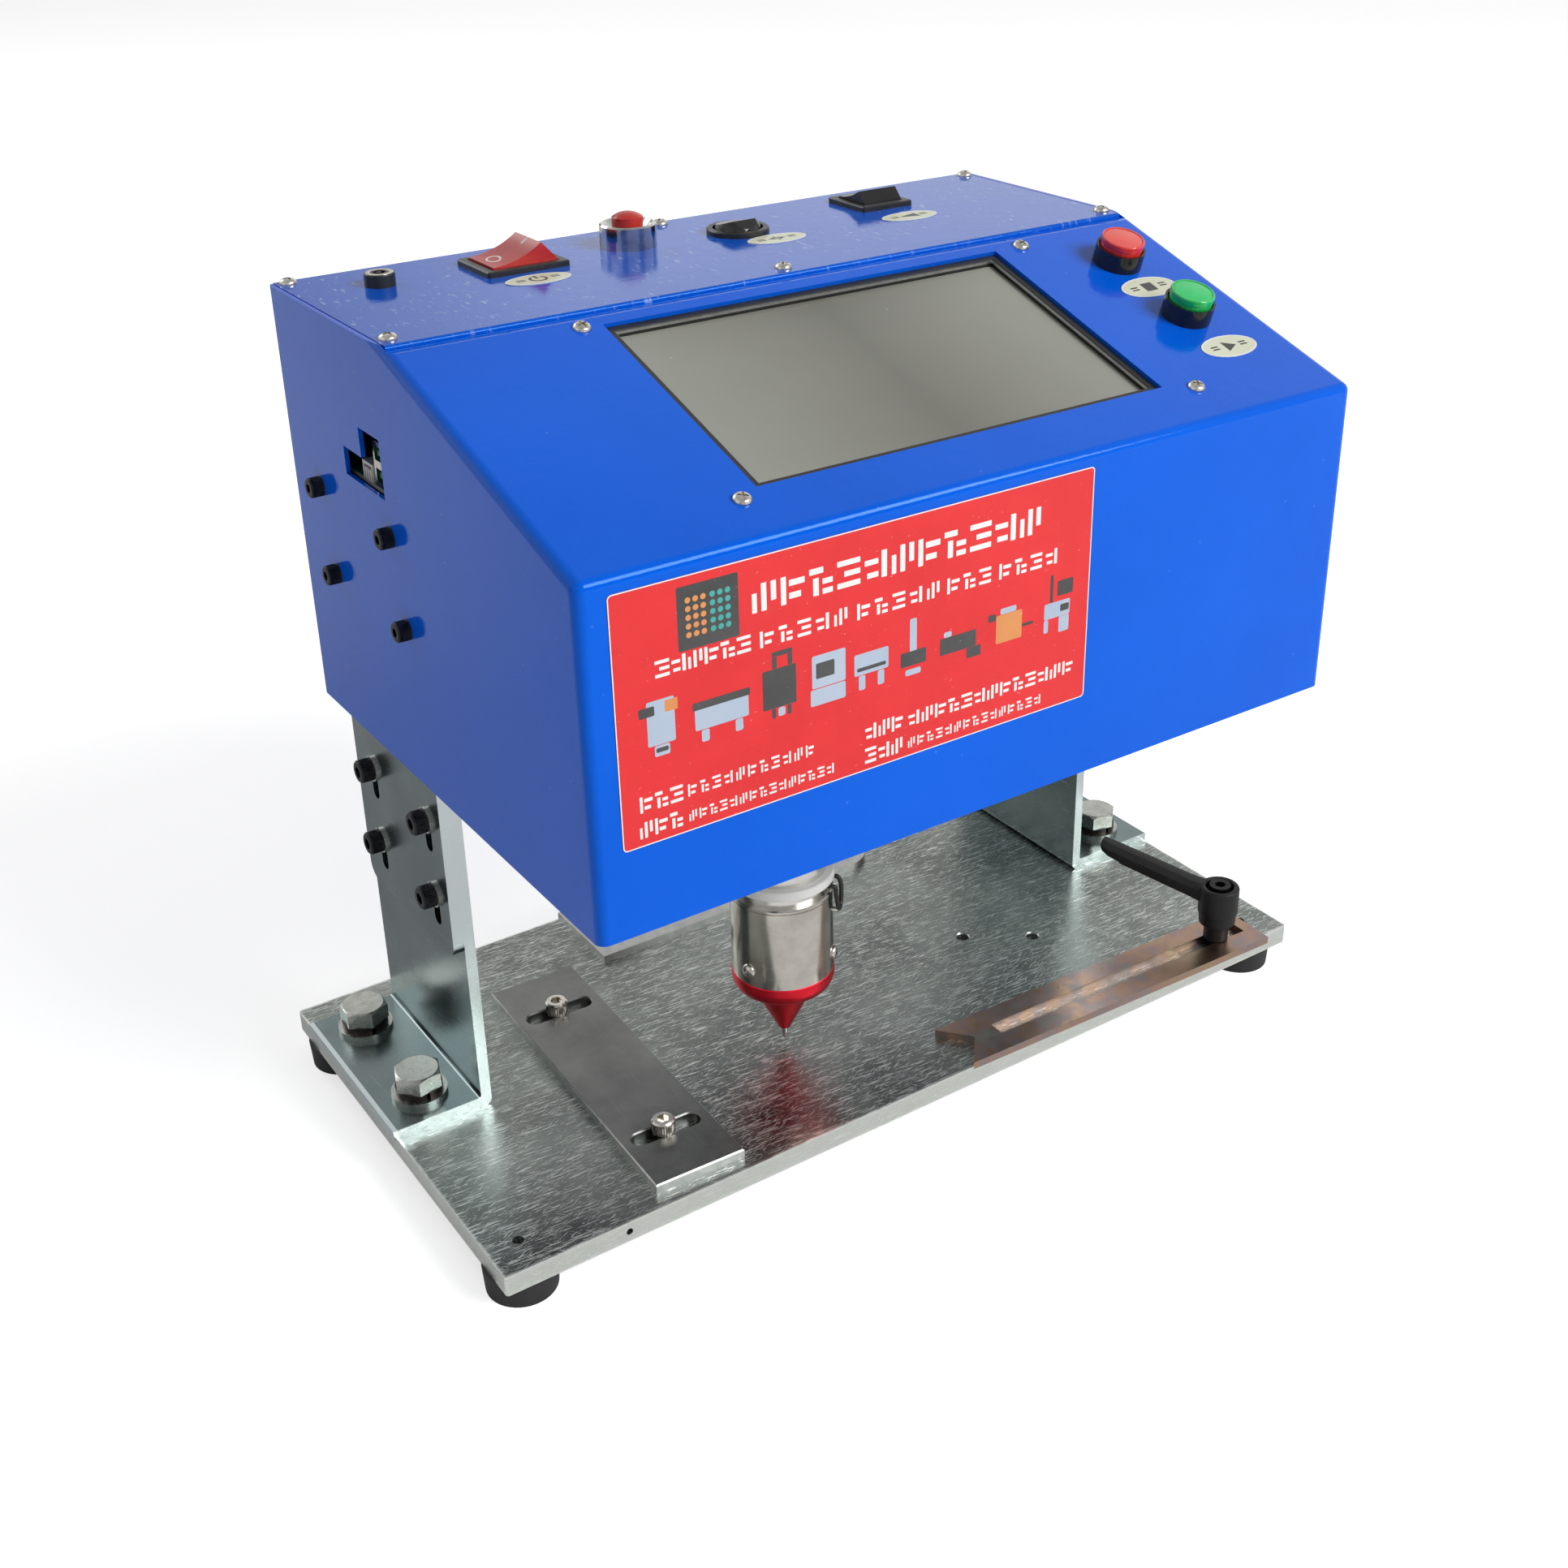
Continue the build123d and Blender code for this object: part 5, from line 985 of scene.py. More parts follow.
def endTree(tree, source, sink, shape):
    # the shape on every point, turned as the point says
    turn = put(tree, "GeometryNodeInputNamedAttribute", {"Name": "turn"}, data_type="FLOAT_VECTOR")
    rotation = put(tree, "FunctionNodeEulerToRotation", {0: turn.outputs[0]})
    copies = put(
        tree,
        "GeometryNodeInstanceOnPoints",
        {"Points": source["Geometry"], "Instance": shape, "Rotation": rotation.outputs[0]},
    )
    real = put(tree, "GeometryNodeRealizeInstances", {0: copies.outputs[0]})
    done = put(tree, "GeometryNodeSetMaterial", {"Geometry": real.outputs[0], "Material": source["Material"]})
    tree.links.new(done.outputs[0], sink["Geometry"])


def newPosition(tree, shape, x, y, z):
    place = put(tree, "ShaderNodeCombineXYZ", {0: x, 1: y, 2: z}).outputs[0]
    return put(tree, "GeometryNodeSetPosition", {"Geometry": shape, "Position": place}).outputs[0]


def pointParts(tree):
    # x, y, z, distance from the axis and angle of a point
    place = tree.nodes.new("GeometryNodeInputPosition").outputs[0]
    x, y, z = partsOf(tree, place)
    reach = calc(tree, "SQRT", plus(tree, times(tree, x, x), times(tree, y, y)))
    return x, y, z, calc(tree, "MAXIMUM", reach, 0.0001), calc(tree, "ARCTAN2", y, x)


def bored(tree, shape, *cutters):
    node = put(tree, "GeometryNodeMeshBoolean", {"Mesh 1": shape}, operation="DIFFERENCE", solver="EXACT")
    for cutter in cutters:
        tree.links.new(cutter, node.inputs["Mesh 2"])
    return node.outputs[0]


def lifted(tree, shape, z):
    offset = put(tree, "ShaderNodeCombineXYZ", {2: z}).outputs[0]
    sockets = {"Geometry": shape, "Translation": offset}
    return put(tree, "GeometryNodeTransform", sockets).outputs[0]


domeValues = {"sideRound": 0.72, "topRound": 0.85, "foot": -0.001, "sunk": -0.1, "pitShare": 0.98}


def panHeadTree():
    # domed head with a cross recess
    kind = "NodeSocketFloat"
    sizes = (("Radius", 0.003), ("Height", 0.0019), ("Span", 0.0034), ("Slit", 0.0008), ("Depth", 0.0009))
    tree, source, sink = startTree("panHead", [(label, kind, size) for label, size in sizes])
    ball = put(tree, "GeometryNodeMeshUVSphere", {"Segments": 40, "Rings": 20, "Radius": 1.0}).outputs[0]
    x, y, z, reach = pointParts(tree)[:4]
    wide = times(tree, calc(tree, "POWER", reach, domeValues["sideRound"]), source["Radius"])
    wide = calc(tree, "DIVIDE", wide, reach)
    rise = calc(tree, "POWER", calc(tree, "MAXIMUM", z, 0.0), domeValues["topRound"])
    sunk = times(tree, calc(tree, "LESS_THAN", z, domeValues["foot"]), domeValues["sunk"])
    height = times(tree, plus(tree, rise, sunk), source["Height"])
    dome = newPosition(tree, ball, times(tree, x, wide), times(tree, y, wide), height)
    deep = times(tree, source["Depth"], 2.0)
    cutters = []
    for a, b in (("Span", "Slit"), ("Slit", "Span")):
        size = put(tree, "ShaderNodeCombineXYZ", {0: source[a], 1: source[b], 2: deep}).outputs[0]
        bar = put(tree, "GeometryNodeMeshCube", {"Size": size}).outputs[0]
        cutters.append(lifted(tree, bar, source["Height"]))
    pit = {"Vertices": 12, "Radius Top": source["Slit"], "Radius Bottom": 0.0, "Depth": source["Depth"]}
    centre = put(tree, "GeometryNodeMeshCone", pit).outputs[0]
    start = times(tree, source["Depth"], domeValues["pitShare"])
    cutters.append(lifted(tree, centre, calc(tree, "SUBTRACT", source["Height"], start)))
    endTree(tree, source, sink, bored(tree, dome, *cutters))
    return tree


def socketHeadTree():
    # ribbed round head with a hexagon socket: steps 0 to 7 make the side, step 8 the narrower top
    kind = "NodeSocketFloat"
    sizes = (
        ("Radius", 0.00425),
        ("Height", 0.005),
        ("Edge", 0.0005),
        ("Ribs", 30.0),
        ("Rib Depth", 0.0001),
        ("Hexagon", 0.004),
        ("Depth", 0.0026),
    )
    tree, source, sink = startTree("socketHead", [(label, kind, size) for label, size in sizes])
    form = {"Vertices": 120, "Side Segments": 8, "Radius": 1.0, "Depth": 1.0}
    body = put(tree, "GeometryNodeMeshCylinder", form).outputs[0]
    x, y, z, reach, angle = pointParts(tree)
    step = times(tree, plus(tree, z, 0.5), form["Side Segments"])
    top = calc(tree, "GREATER_THAN", step, 7.5)
    side = times(tree, calc(tree, "GREATER_THAN", step, 0.5), calc(tree, "LESS_THAN", step, 6.5))
    rib = calc(tree, "COSINE", times(tree, angle, source["Ribs"]))
    rib = times(tree, times(tree, rib, side), source["Rib Depth"])
    inner = times(tree, top, source["Edge"])
    radius = plus(tree, calc(tree, "SUBTRACT", source["Radius"], inner), rib)
    radius = calc(tree, "SUBTRACT", radius, times(tree, source["Rib Depth"], side))
    scale = calc(tree, "DIVIDE", radius, reach)
    straight = calc(tree, "SUBTRACT", source["Height"], source["Edge"])
    height = times(tree, calc(tree, "DIVIDE", calc(tree, "MINIMUM", step, 7.0), 7.0), straight)
    height = plus(tree, height, inner)
    head = newPosition(tree, body, times(tree, x, scale), times(tree, y, scale), height)
    wide = calc(tree, "DIVIDE", source["Hexagon"], math.sqrt(3))
    deep = times(tree, source["Depth"], 2.0)
    hexagon = put(tree, "GeometryNodeMeshCylinder", {"Vertices": 6, "Radius": wide, "Depth": deep}).outputs[0]
    endTree(tree, source, sink, bored(tree, head, lifted(tree, hexagon, source["Height"])))
    return tree


def hexHeadTree():
    # six-sided head with a turned chamfer
    kind = "NodeSocketFloat"
    sizes = (("Flats", 0.016), ("Height", 0.0064), ("Land", 0.0152), ("Slope", 1.7))
    tree, source, sink = startTree("hexHead", [(label, kind, size) for label, size in sizes])
    wide = calc(tree, "DIVIDE", source["Flats"], math.sqrt(3))
    form = {"Vertices": 6, "Radius": wide, "Depth": source["Height"]}
    prism = put(tree, "GeometryNodeMeshCylinder", form).outputs[0]
    prism = lifted(tree, prism, times(tree, source["Height"], 0.5))
    land = times(tree, source["Land"], 0.5)
    foot = plus(tree, land, times(tree, source["Height"], source["Slope"]))
    form = {"Vertices": 72, "Radius Top": land, "Radius Bottom": foot, "Depth": source["Height"]}
    cone = put(tree, "GeometryNodeMeshCone", form).outputs[0]
    node = put(tree, "GeometryNodeMeshBoolean", operation="INTERSECT", solver="EXACT")
    tree.links.new(prism, node.inputs["Mesh 2"])
    tree.links.new(cone, node.inputs["Mesh 2"])
    endTree(tree, source, sink, node.outputs[0])
    return tree


def dotFieldTree():
    # rows and columns of printed dots
    count, kind = "NodeSocketInt", "NodeSocketFloat"
    inputs = [("Columns", count, 4), ("Rows", count, 4), ("Width", kind, 0.01), ("Height", kind, 0.01)]
    inputs += [("Radius", kind, 0.0005), ("Thick", kind, 0.0001)]
    tree, source, sink = startTree("dotField", inputs)
    form = {"Size X": source["Width"], "Size Y": source["Height"]}
    form.update({"Vertices X": source["Columns"], "Vertices Y": source["Rows"]})
    sheet = put(tree, "GeometryNodeMeshGrid", form).outputs[0]
    form = {"Vertices": 16, "Radius": source["Radius"], "Depth": source["Thick"]}
    dot = put(tree, "GeometryNodeMeshCylinder", form).outputs[0]
    field = put(tree, "GeometryNodeInstanceOnPoints", {"Points": sheet, "Instance": dot}).outputs[0]
    endTree(tree, source, sink, put(tree, "GeometryNodeRealizeInstances", {0: field}).outputs[0])
    return tree


def harvest(name, tree, values, spots, body, slotName, *replaced, finish=None):
    # a tree's result on the given places, as one plain mesh and piece
    seed = bpy.data.meshes.new(name + "Spots")
    seed.from_pydata([spot.translation for spot in spots], [], [])
    turn = seed.attributes.new("turn", "FLOAT_VECTOR", "POINT")
    for k, spot in enumerate(spots):
        turn.data[k].vector = spot.to_3x3().normalized().to_euler()
    carrier = bpy.data.objects.new(name + "Spots", seed)
    link(carrier)
    grow = carrier.modifiers.new("grow", "NODES")
    grow.node_group = tree
    material = finish or finishes[slotName]
    given = dict(values, Material=material)
    for item in tree.interface.items_tree:
        if item.in_out == "INPUT" and item.name in given:
            grow[item.identifier] = given[item.name]
    depsgraph = bpy.context.evaluated_depsgraph_get()
    mesh = bpy.data.meshes.new_from_object(carrier.evaluated_get(depsgraph), depsgraph=depsgraph)
    bpy.data.objects.remove(carrier)
    for attribute in [a for a in mesh.attributes if a.name == "turn"]:
        mesh.attributes.remove(attribute)
    fit(linkMesh(name, mesh, material), body, slotName, *replaced)


def spun(spot, degrees):
    # turned about its own upright
    return spot @ Matrix.Rotation(math.radians(degrees), 4, "Z")


panHead, socketHead, hexHead, dotField = panHeadTree(), socketHeadTree(), hexHeadTree(), dotFieldTree()
print("node trees built")


# head cable: a short black loop at the marking head, back into it, with its lug

cable = {
    "angle": -34.2,
    "diameter": 0.0017,
    "length": 0.0323,
    # out from the head's axis, across, and height
    "route": [
        (17.5, 2.4, 71.9), (20.9, 2.4, 72.2), (22.1, 2, 69.4), (22.2, 1.6, 65.4),
        (22, 0.9, 61.4), (21.5, -1.5, 60.2), (21, -3.7, 61.6), (20.5, -4.3, 65.2),
        (20.1, -4.8, 69), (20.1, -5.2, 72.2), (16.9, -4.9, 71.9),
    ],
    "lugHeight": 59,
    "lugReach": 19.1,
    "lug": [(0, -0.6), (1.1, -0.6), (1.1, 1.6), (0.95, 2.1), (0.5, 2.4), (0, 2.4)],
}


def layCable(values):
    turn = math.radians(values["angle"])
    away = (math.cos(turn), math.sin(turn), 0)
    head = spotFrame(headX, headY, 0, (0, 0, 1), away)
    points = [head @ Vector(point) for point in values["route"]]
    data = bpy.data.curves.new("headCable", "CURVE")
    data.dimensions = "3D"
    data.bevel_depth = values["diameter"] / 2
    data.bevel_resolution = 5
    data.resolution_u = 10
    data.use_fill_caps = True
    line = data.splines.new("NURBS")
    line.points.add(len(points) - 1)
    for k, point in enumerate(points):
        line.points[k].co = (*point, 1)
    line.order_u = 3
    line.use_endpoint_u = True
    data.materials.append(finishes["cable_black"])
    wire = bpy.data.objects.new("headCable", data)
    link(wire)

    # soldered lug on the barrel, under the loop
    reach = values["lugReach"]
    out = spotFrame(headX + reach * away[0], headY + reach * away[1], values["lugHeight"], away, (0, 0, 1))
    bm = bmesh.new()
    turned(bm, values["lug"], 24)
    lug = addPiece("cableLug", bm, out, "x_stage", "nickel")
    fit(wire, "x_stage", "cable_black", "head_cable")


layCable(cable)
print("cable laid")


# screws and bolts

screwValues = {
    "cover": {"Radius": 0.003, "Height": 0.0019, "Span": 0.0034, "Slit": 0.0007, "Depth": 0.0009},
    "barrel": {"Radius": 0.0028, "Height": 0.0016, "Span": 0.003, "Slit": 0.0007, "Depth": 0.0008},
    "side": {"Radius": 0.0035, "Height": 0.0046, "Hexagon": 0.003, "Depth": 0.0024, "Rib Depth": 0.00008},
    "clamp": {"Radius": 0.00425, "Height": 0.005, "Hexagon": 0.004, "Depth": 0.0026, "Edge": 0.0006},
    "bolt": {"Flats": 0.016, "Height": 0.0064, "Land": 0.0152},
}
screwPlaces = {
    "cover": [(x, y) for x in (6, 150, 294) for y in (176.5, 93.3)],
    "screen": [(x, s) for x in (63.7, 241.6) for s in (9.5, 106)],
    "barrelAngles": (-163.5, -43.5, 76.5),
    "barrelReach": 19.0,
    "barrelHeight": 42.2,
    # side, the case's wall, the hanger plate's face
    "walls": ((-1, 27.5, 28), (1, 326.5, 326)),
    "side": ((94.9, 221.4), (153.4, 221.4), (89.4, 191.2), (147.9, 191.2)),
    "clamp": ((96.7, 87.2), (96.7, 116.9), (142.6, 87.2), (142.6, 116.9)),
    "stopReach": 43.25,
    "stopSeat": 4,
    "bolt": ((16, 101.6), (16, 151.6), (343.7, 101.6), (343.7, 151.6)),
    "boltSeat": 8.5,
}


def setScrews(values, places):
    # each recess is turned its own way
    lid = []
    for k, (x, y) in enumerate(places["cover"]):
        lid.append(spun(spotFrame(caseLeft + x, y, caseTop), 17 + 31 * (k // 2) + y))
    harvest("coverScrews", panHead, values["cover"], lid, "head", "nickel", "cover_screws")
    pane = [spun(slope @ Matrix.Translation((x, -s, 0)), 23 + x + 2.3 * s) for x, s in places["screen"]]
    harvest("screenScrews", panHead, values["cover"], pane, "head", "nickel", "screen_screws")

    ring, reach = [], places["barrelReach"]
    for k, degrees in enumerate(places["barrelAngles"]):
        a = math.radians(degrees)
        out = (math.cos(a), math.sin(a), 0)
        x, y = headX + reach * out[0], headY + reach * out[1]
        ring.append(spun(spotFrame(x, y, places["barrelHeight"], out, (0, 0, 1)), 28 + 41 * k))
    harvest("barrelScrews", panHead, values["barrel"], ring, "x_stage", "nickel", "barrel_screws")

    sides, clamps = [], []
    for sign, wall, strap in places["walls"]:
        for k, (y, z) in enumerate(places["side"]):
            sides.append(spun(spotFrame(wall, y, z, (sign, 0, 0), (0, 0, 1)), 7 + 13 * k))
        for k, (y, z) in enumerate(places["clamp"]):
            clamps.append(spun(spotFrame(strap, y, z, (sign, 0, 0), (0, 0, 1)), 11 + 19 * k))
    harvest("sideScrews", socketHead, values["side"], sides, "head", "black_screw", "side_screws")
    harvest("clampScrews", socketHead, values["clamp"], clamps, "base", "black_screw", "hanger_screws")

    turn = -math.radians(barTurn)
    stops = []
    for row in (-1, 1):
        reach = row * places["stopReach"]
        x = barX - math.cos(turn) - reach * math.sin(turn)
        y = barY - math.sin(turn) + reach * math.cos(turn)
        stops.append(spun(spotFrame(x, y, places["stopSeat"]), 20 + 25 * row))
    harvest("stopScrews", socketHead, values["clamp"], stops, "base", "nickel", "left_stop_screws")

    bolts = []
    for k, (x, y) in enumerate(places["bolt"]):
        bolts.append(spun(spotFrame(x, y, places["boltSeat"]), 11 + 17 * k))
    harvest("bracketBolts", hexHead, values["bolt"], bolts, "base", "zinc_bolt", "bracket_bolts")


setScrews(screwValues, screwPlaces)
print("screws set")


# front label: plain red field with generic print

labelValues = {
    "left": 9.5,
    "low": 29.1,
    "width": 173.2,
    "height": 79.8,
    "corner": 1.4,
    "rim": 0.35,
    "rimCorner": 1.1,
    "field": 0.2,
    "print": 0.25,
    "square": (30.8, 86.4, 20.0, 19.4),
    "dots": {"Columns": 3, "Rows": 5, "Width": 0.005, "Height": 0.0105, "Radius": 0.0009},
    "dotShift": 4.0,
    # strokes of each plain sign, as shares of its block
    "signs": [
        [(0, 0, 0.22, 1), (0.34, 0.62, 0.66, 0.22), (0.34, 0.16, 0.5, 0.22)],
        [(0, 0.8, 1, 0.2), (0.3, 0.4, 0.7, 0.2), (0, 0, 1, 0.2)],
        [(0, 0, 0.2, 0.7), (0.38, 0, 0.22, 1), (0.78, 0.3, 0.22, 0.7)],
        [(0, 0.78, 0.6, 0.22), (0.16, 0, 0.24, 0.64), (0.56, 0.36, 0.44, 0.2), (0.56, 0, 0.44, 0.2)],
        [(0.74, 0, 0.24, 1), (0, 0.56, 0.6, 0.2), (0.1, 0.08, 0.5, 0.2)],
    ],
    # each row of signs: left end, foot, length, height, length of one block and gap
    "rows": [
        (55.2, 91.8, 106.0, 8.6, 8.2, 1.6),
        (22.9, 80.6, 31.5, 5.2, 4.7, 0.9),
        (57.5, 80.4, 30.5, 5.2, 4.7, 0.9),
        (91.5, 80.2, 30.5, 5.2, 4.7, 0.9),
        (125.0, 80.0, 17.0, 5.2, 4.7, 0.9),
        (145.2, 79.8, 23.4, 5.2, 4.7, 0.9),
        (15.7, 40.0, 14.2, 5.2, 4.2, 0.8),
        (31.6, 40.4, 43.8, 4.0, 2.9, 1.0),
        (15.2, 31.7, 14.2, 5.2, 4.2, 0.8),
        (31.6, 32.2, 51.0, 3.4, 2.6, 0.9),
        (94.3, 39.4, 14.2, 5.2, 4.2, 0.8),
        (110.6, 39.4, 66.6, 4.8, 4.3, 0.9),
        (94.2, 31.4, 14.2, 5.2, 4.2, 0.8),
        (110.6, 31.9, 53.4, 3.4, 2.6, 0.9),
    ],
}


def printLabel(values):
    low, high = values["field"] - 0.05, values["print"]
    x, y, w, h = values["left"], values["low"], values["width"], values["height"]
    field, rim = tile(x, y, w, h, values["corner"]), values["rim"]
    bm = bmesh.new()
    slab(bm, field, 0.0, values["field"])
    addPiece("frontLabel", bm, front, "head", "red_label", "front_label")

    bm = bmesh.new()
    inner = tile(x + rim, y + rim, w - 2 * rim, h - 2 * rim, values["rimCorner"])
    rimSlab(bm, field, inner, low, high)
    for first, foot, length, tall, wide, gap in values["rows"]:
        # a row of plain signs made of strokes
        count = round(length / (wide + gap))
        for k in range(count):
            a = first + k * (length - wide) / (count - 1)
            for x, y, across, up in values["signs"][(3 * k + round(foot)) % len(values["signs"])]:
                slab(bm, tile(a + x * wide, foot + y * tall, across * wide, up * tall, 0.12, 1), low, high)
    addPiece("labelPrint", bm, front, "head", "pale_label", finish=whiteInk)

    bm = bmesh.new()
    slab(bm, tile(*values["square"], 0.6), low, high - 0.02)
    addPiece("labelSquare", bm, front, "head", "pale_label", finish=darkInk)
    x, y, w, h = values["square"]
    dots = dict(values["dots"], Thick=(high - low) * mm)
    for shift, ink, name in ((-1, orangeInk, "squareDotsLeft"), (1, tealInk, "squareDotsRight")):
        middle = (x + w / 2 + shift * values["dotShift"], y + h / 2, (low + high) / 2)
        spots = [front @ Matrix.Translation(middle)]
        harvest(name, dotField, dots, spots, "head", "pale_label", finish=ink)


toolValues = {
    # pale bodies and dark details of each pictogram: left, foot, width and height
    "rows": [
        ([(19.5, 60, 9, 14), (21.5, 56.4, 5, 3.4)], [(17, 69.5, 5, 3), (22, 57.6, 4, 1.4)]),
        ([(35, 60.5, 18, 7), (37, 56.5, 2.6, 3.8), (48.4, 56.5, 2.6, 3.8)], [(34.4, 67, 19.2, 2.4)]),
        (
            [(63.2, 57, 2.4, 2.8)],
            [
                (58, 60, 11.6, 12.6), (61, 56.8, 1.4, 3.1), (66.4, 56.8, 1.4, 3.1),
                (61.4, 76.4, 7, 1.6), (61.4, 72.7, 1.6, 3.6), (66.8, 72.7, 1.6, 3.6),
            ],
        ),
        ([(74.6, 56.5, 12.6, 5.4), (75.2, 62.2, 12, 10.6)], [(76.6, 65.2, 6.6, 5)]),
        ([(90.4, 62, 12.6, 7), (92, 57, 2.4, 4.8), (99, 57, 2.4, 4.8)], [(91.4, 63.2, 10.6, 1.2)]),
        ([(111, 64.5, 2.6, 11), (109.4, 56.8, 5.8, 2)], [(107.6, 60, 9.6, 4.8)]),
        ([(124, 65.7, 3, 1.8)], [(122.6, 60, 14, 5.6), (133, 56.4, 5.6, 3.5)]),
        ([(146.2, 67.7, 6.4, 2)], [(155.1, 61.4, 4.6, 1), (141.4, 66.2, 3, 2.4)]),
        (
            [(164.2, 61, 10.6, 5.4), (164.2, 56.4, 1.8, 4.5), (170.4, 55.4, 4.2, 5.5)],
            [(169.4, 68.2, 6.4, 5.2), (166.4, 66.5, 1.2, 9.5), (170.8, 62.6, 3.6, 2.4)],
        ),
    ],
    "orange": [(144.6, 58.0, 10.4, 9.6, 0.5), (25.4, 69.6, 4.2, 3.6, 0.3)],
    "paleCorner": 0.6,
    "darkCorner": 0.4,
}


def printTools(values, heights):
    # a row of plain machine pictograms: pale bodies, dark details
    low, high = heights["field"] - 0.05, heights["print"]
    pale, box, dark = bmesh.new(), bmesh.new(), bmesh.new()
    for bodies, details in values["rows"]:
        for shape in bodies:
            slab(pale, tile(*shape, values["paleCorner"]), low, high - 0.01)
        for shape in details:
            slab(dark, tile(*shape, values["darkCorner"]), low, high)
    for shape in values["orange"]:
        slab(box, tile(*shape), low, high - 0.005)
    addPiece("labelTools", pale, front, "head", "pale_label", finish=paleBlueInk)
    addPiece("labelToolBox", box, front, "head", "pale_label", finish=orangeInk)
    addPiece("labelToolParts", dark, front, "head", "pale_label", finish=darkInk)


printLabel(labelValues)
printTools(toolValues, labelValues)
print("front label printed")


# oval labels: pale border and plain signs

ovalValues = {
    "width": 24,
    "height": 12.3,
    "border": 0.6,
    "thick": 0.25,
    "ink": 0.28,
    "roof": [(75.9, "power"), (171.8, "arrows"), (231.4, "wedge")],
    "roofY": 130.4,
    "slope": [(270.3, 48.1, "square"), (271.8, 89.5, "triangle")],
}


arc = [oval(0, 0, size, size, 30, math.radians(118), math.radians(304)) for size in (6.6, 4.8)]
signShapes = {
    "power": [arc[0] + arc[1][::-1], tile(-0.45, 0.3, 0.9, 3.8, 0.2)],
    "arrows": [[(side * 0.9, 1.6), (side * 0.9, -1.6), (side * 3.6, 0)] for side in (-1, 1)]
    + [tile(-0.35, -2.8, 0.7, 5.6, 0.15)],
    "wedge": [[(-3.8, -0.4), (3.6, -2.4), (3.6, 2.4), (-3.8, 0.4)]],
    "square": [tile(-2.5, -2.5, 5.0, 5.0, 0.3)],
    "triangle": [[(-2.0, -2.8), (3.2, 0), (-2.0, 2.8)]],
    "rules": [tile(side * 6.4 - 1.6, foot, 3.2, 0.7, 0.2) for side in (-1, 1) for foot in (-0.9, 0.5)],
}


def markOvals(values):
    spots = [(roof @ Matrix.Translation((a, values["roofY"], 0)), kind) for a, kind in values["roof"]]
    spots += [(slope @ Matrix.Translation((a, -s, 0)), kind) for a, s, kind in values["slope"]]
    w, h, b = values["width"], values["height"], values["border"]
    low, high = values["thick"] - 0.05, values["ink"]
    for placed, kind in spots:
        name = "sign" + kind.capitalize()
        bm = bmesh.new()
        for outline in signShapes[kind] + signShapes["rules"]:
            slab(bm, outline, low, high)
        addPiece(name, bm, placed, "head", "pale_label", finish=darkInk)
        bm = bmesh.new()
        rimSlab(bm, oval(0, 0, w, h, 64), oval(0, 0, w - 2 * b, h - 2 * b, 64), low, high)
        addPiece(name + "Border", bm, placed, "head", "pale_label", finish=whiteInk)


markOvals(ovalValues)
print("oval labels marked")


# screen: a metal strip between the housing and the slope, round the window

screenValues = {
    "x": 71.1,
    "s": 9.4,
    "width": 158.8,
    "height": 92.4,
    "inset": 2.65,
    "strip": 0.5,
    "low": -2.6,
    "high": -1.7,
}


def frameScreen(v):
    bm = bmesh.new()
    lines = []
    for inset, corner in ((v["inset"], 0.3), (v["inset"] + v["strip"], 0.2)):
        width, height = v["width"] - 2 * inset, v["height"] - 2 * inset
        lines.append(tile(v["x"] + inset, inset - v["s"] - v["height"], width, height, corner))
    rimSlab(bm, *lines, v["low"], v["high"])
    addPiece("screenStrip", bm, slope, "head", "dark_steel")


frameScreen(screenValues)
print("screen framed")


# switches, buttons and jack


def barGrid(bm, x, y, width, height, across, along, low, high):
    # a thin bar with enough points to follow a curved face
    columns = [x + width * k / across for k in range(across + 1)]
    rows = [y + height * k / along for k in range(along + 1)]
    top = [[bm.verts.new((a, b, high)) for a in columns] for b in rows]
    base = [[bm.verts.new((a, b, low)) for a in columns] for b in rows]
    for j in range(along):
        for i in range(across):
            bm.faces.new((top[j][i], top[j][i + 1], top[j + 1][i + 1], top[j + 1][i]))
            bm.faces.new((base[j][i], base[j + 1][i], base[j + 1][i + 1], base[j][i + 1]))
    ends = [[(j, i) for j in range(along + 1)] for i in (0, across)]
    ends += [[(j, i) for i in range(across + 1)] for j in (0, along)]
    for line in ends:
        for (j, i), (m, n) in zip(line, line[1:]):
            bm.faces.new((top[j][i], top[m][n], base[m][n], base[j][i]))


rockerRows = [
    # name, rocker, body and its place on the roof; bar: corner, sizes, cells across and along;
    # ring: middle, sizes, points, width; height over the rocker and ink
    (
        "powerMarks", "power_rocker", "power_switch", (78.2, 153.4),
        (3.4, -0.45, 5.6, 0.9, 8, 2), (-7.4, 0, 5.0, 7.2, 40, 1.4), 0.05, whiteInk,
    ),
    (
        "roundMarks", "round_rocker", "round_switch", (166.3, 148),
        (-1.3, 3.6, 2.6, 1.6, 4, 3), (0, -1.6, 3.0, 2.6, 28, 1.0), 0.04, greyInk,
    ),
    (
        "driveMark", "drive_rocker", "drive_switch", (232.5, 157.3),
        (-2.0, 4.2, 4.0, 0.7, 6, 2), None, 0.03, greyInk,
    ),
]


def markRockers(rows):
    # I and O on the power rocker, pale marks on the others
    for name, rocker, body, place, bar, ring, high, ink in rows:
        spot = roof @ Matrix.Translation((*place, 0))
        bm = bmesh.new()
        barGrid(bm, *bar, -0.1, high)
        if ring:
            x, y, w, h, points, k = ring
            rimSlab(bm, oval(x, y, w, h, points), oval(x, y, w - k, h - k, points), -0.1, high)
        drape(bm, spot, rocker)
        addPiece(name, bm, spot, body, "pale_label", finish=ink)


markRockers(rockerRows)

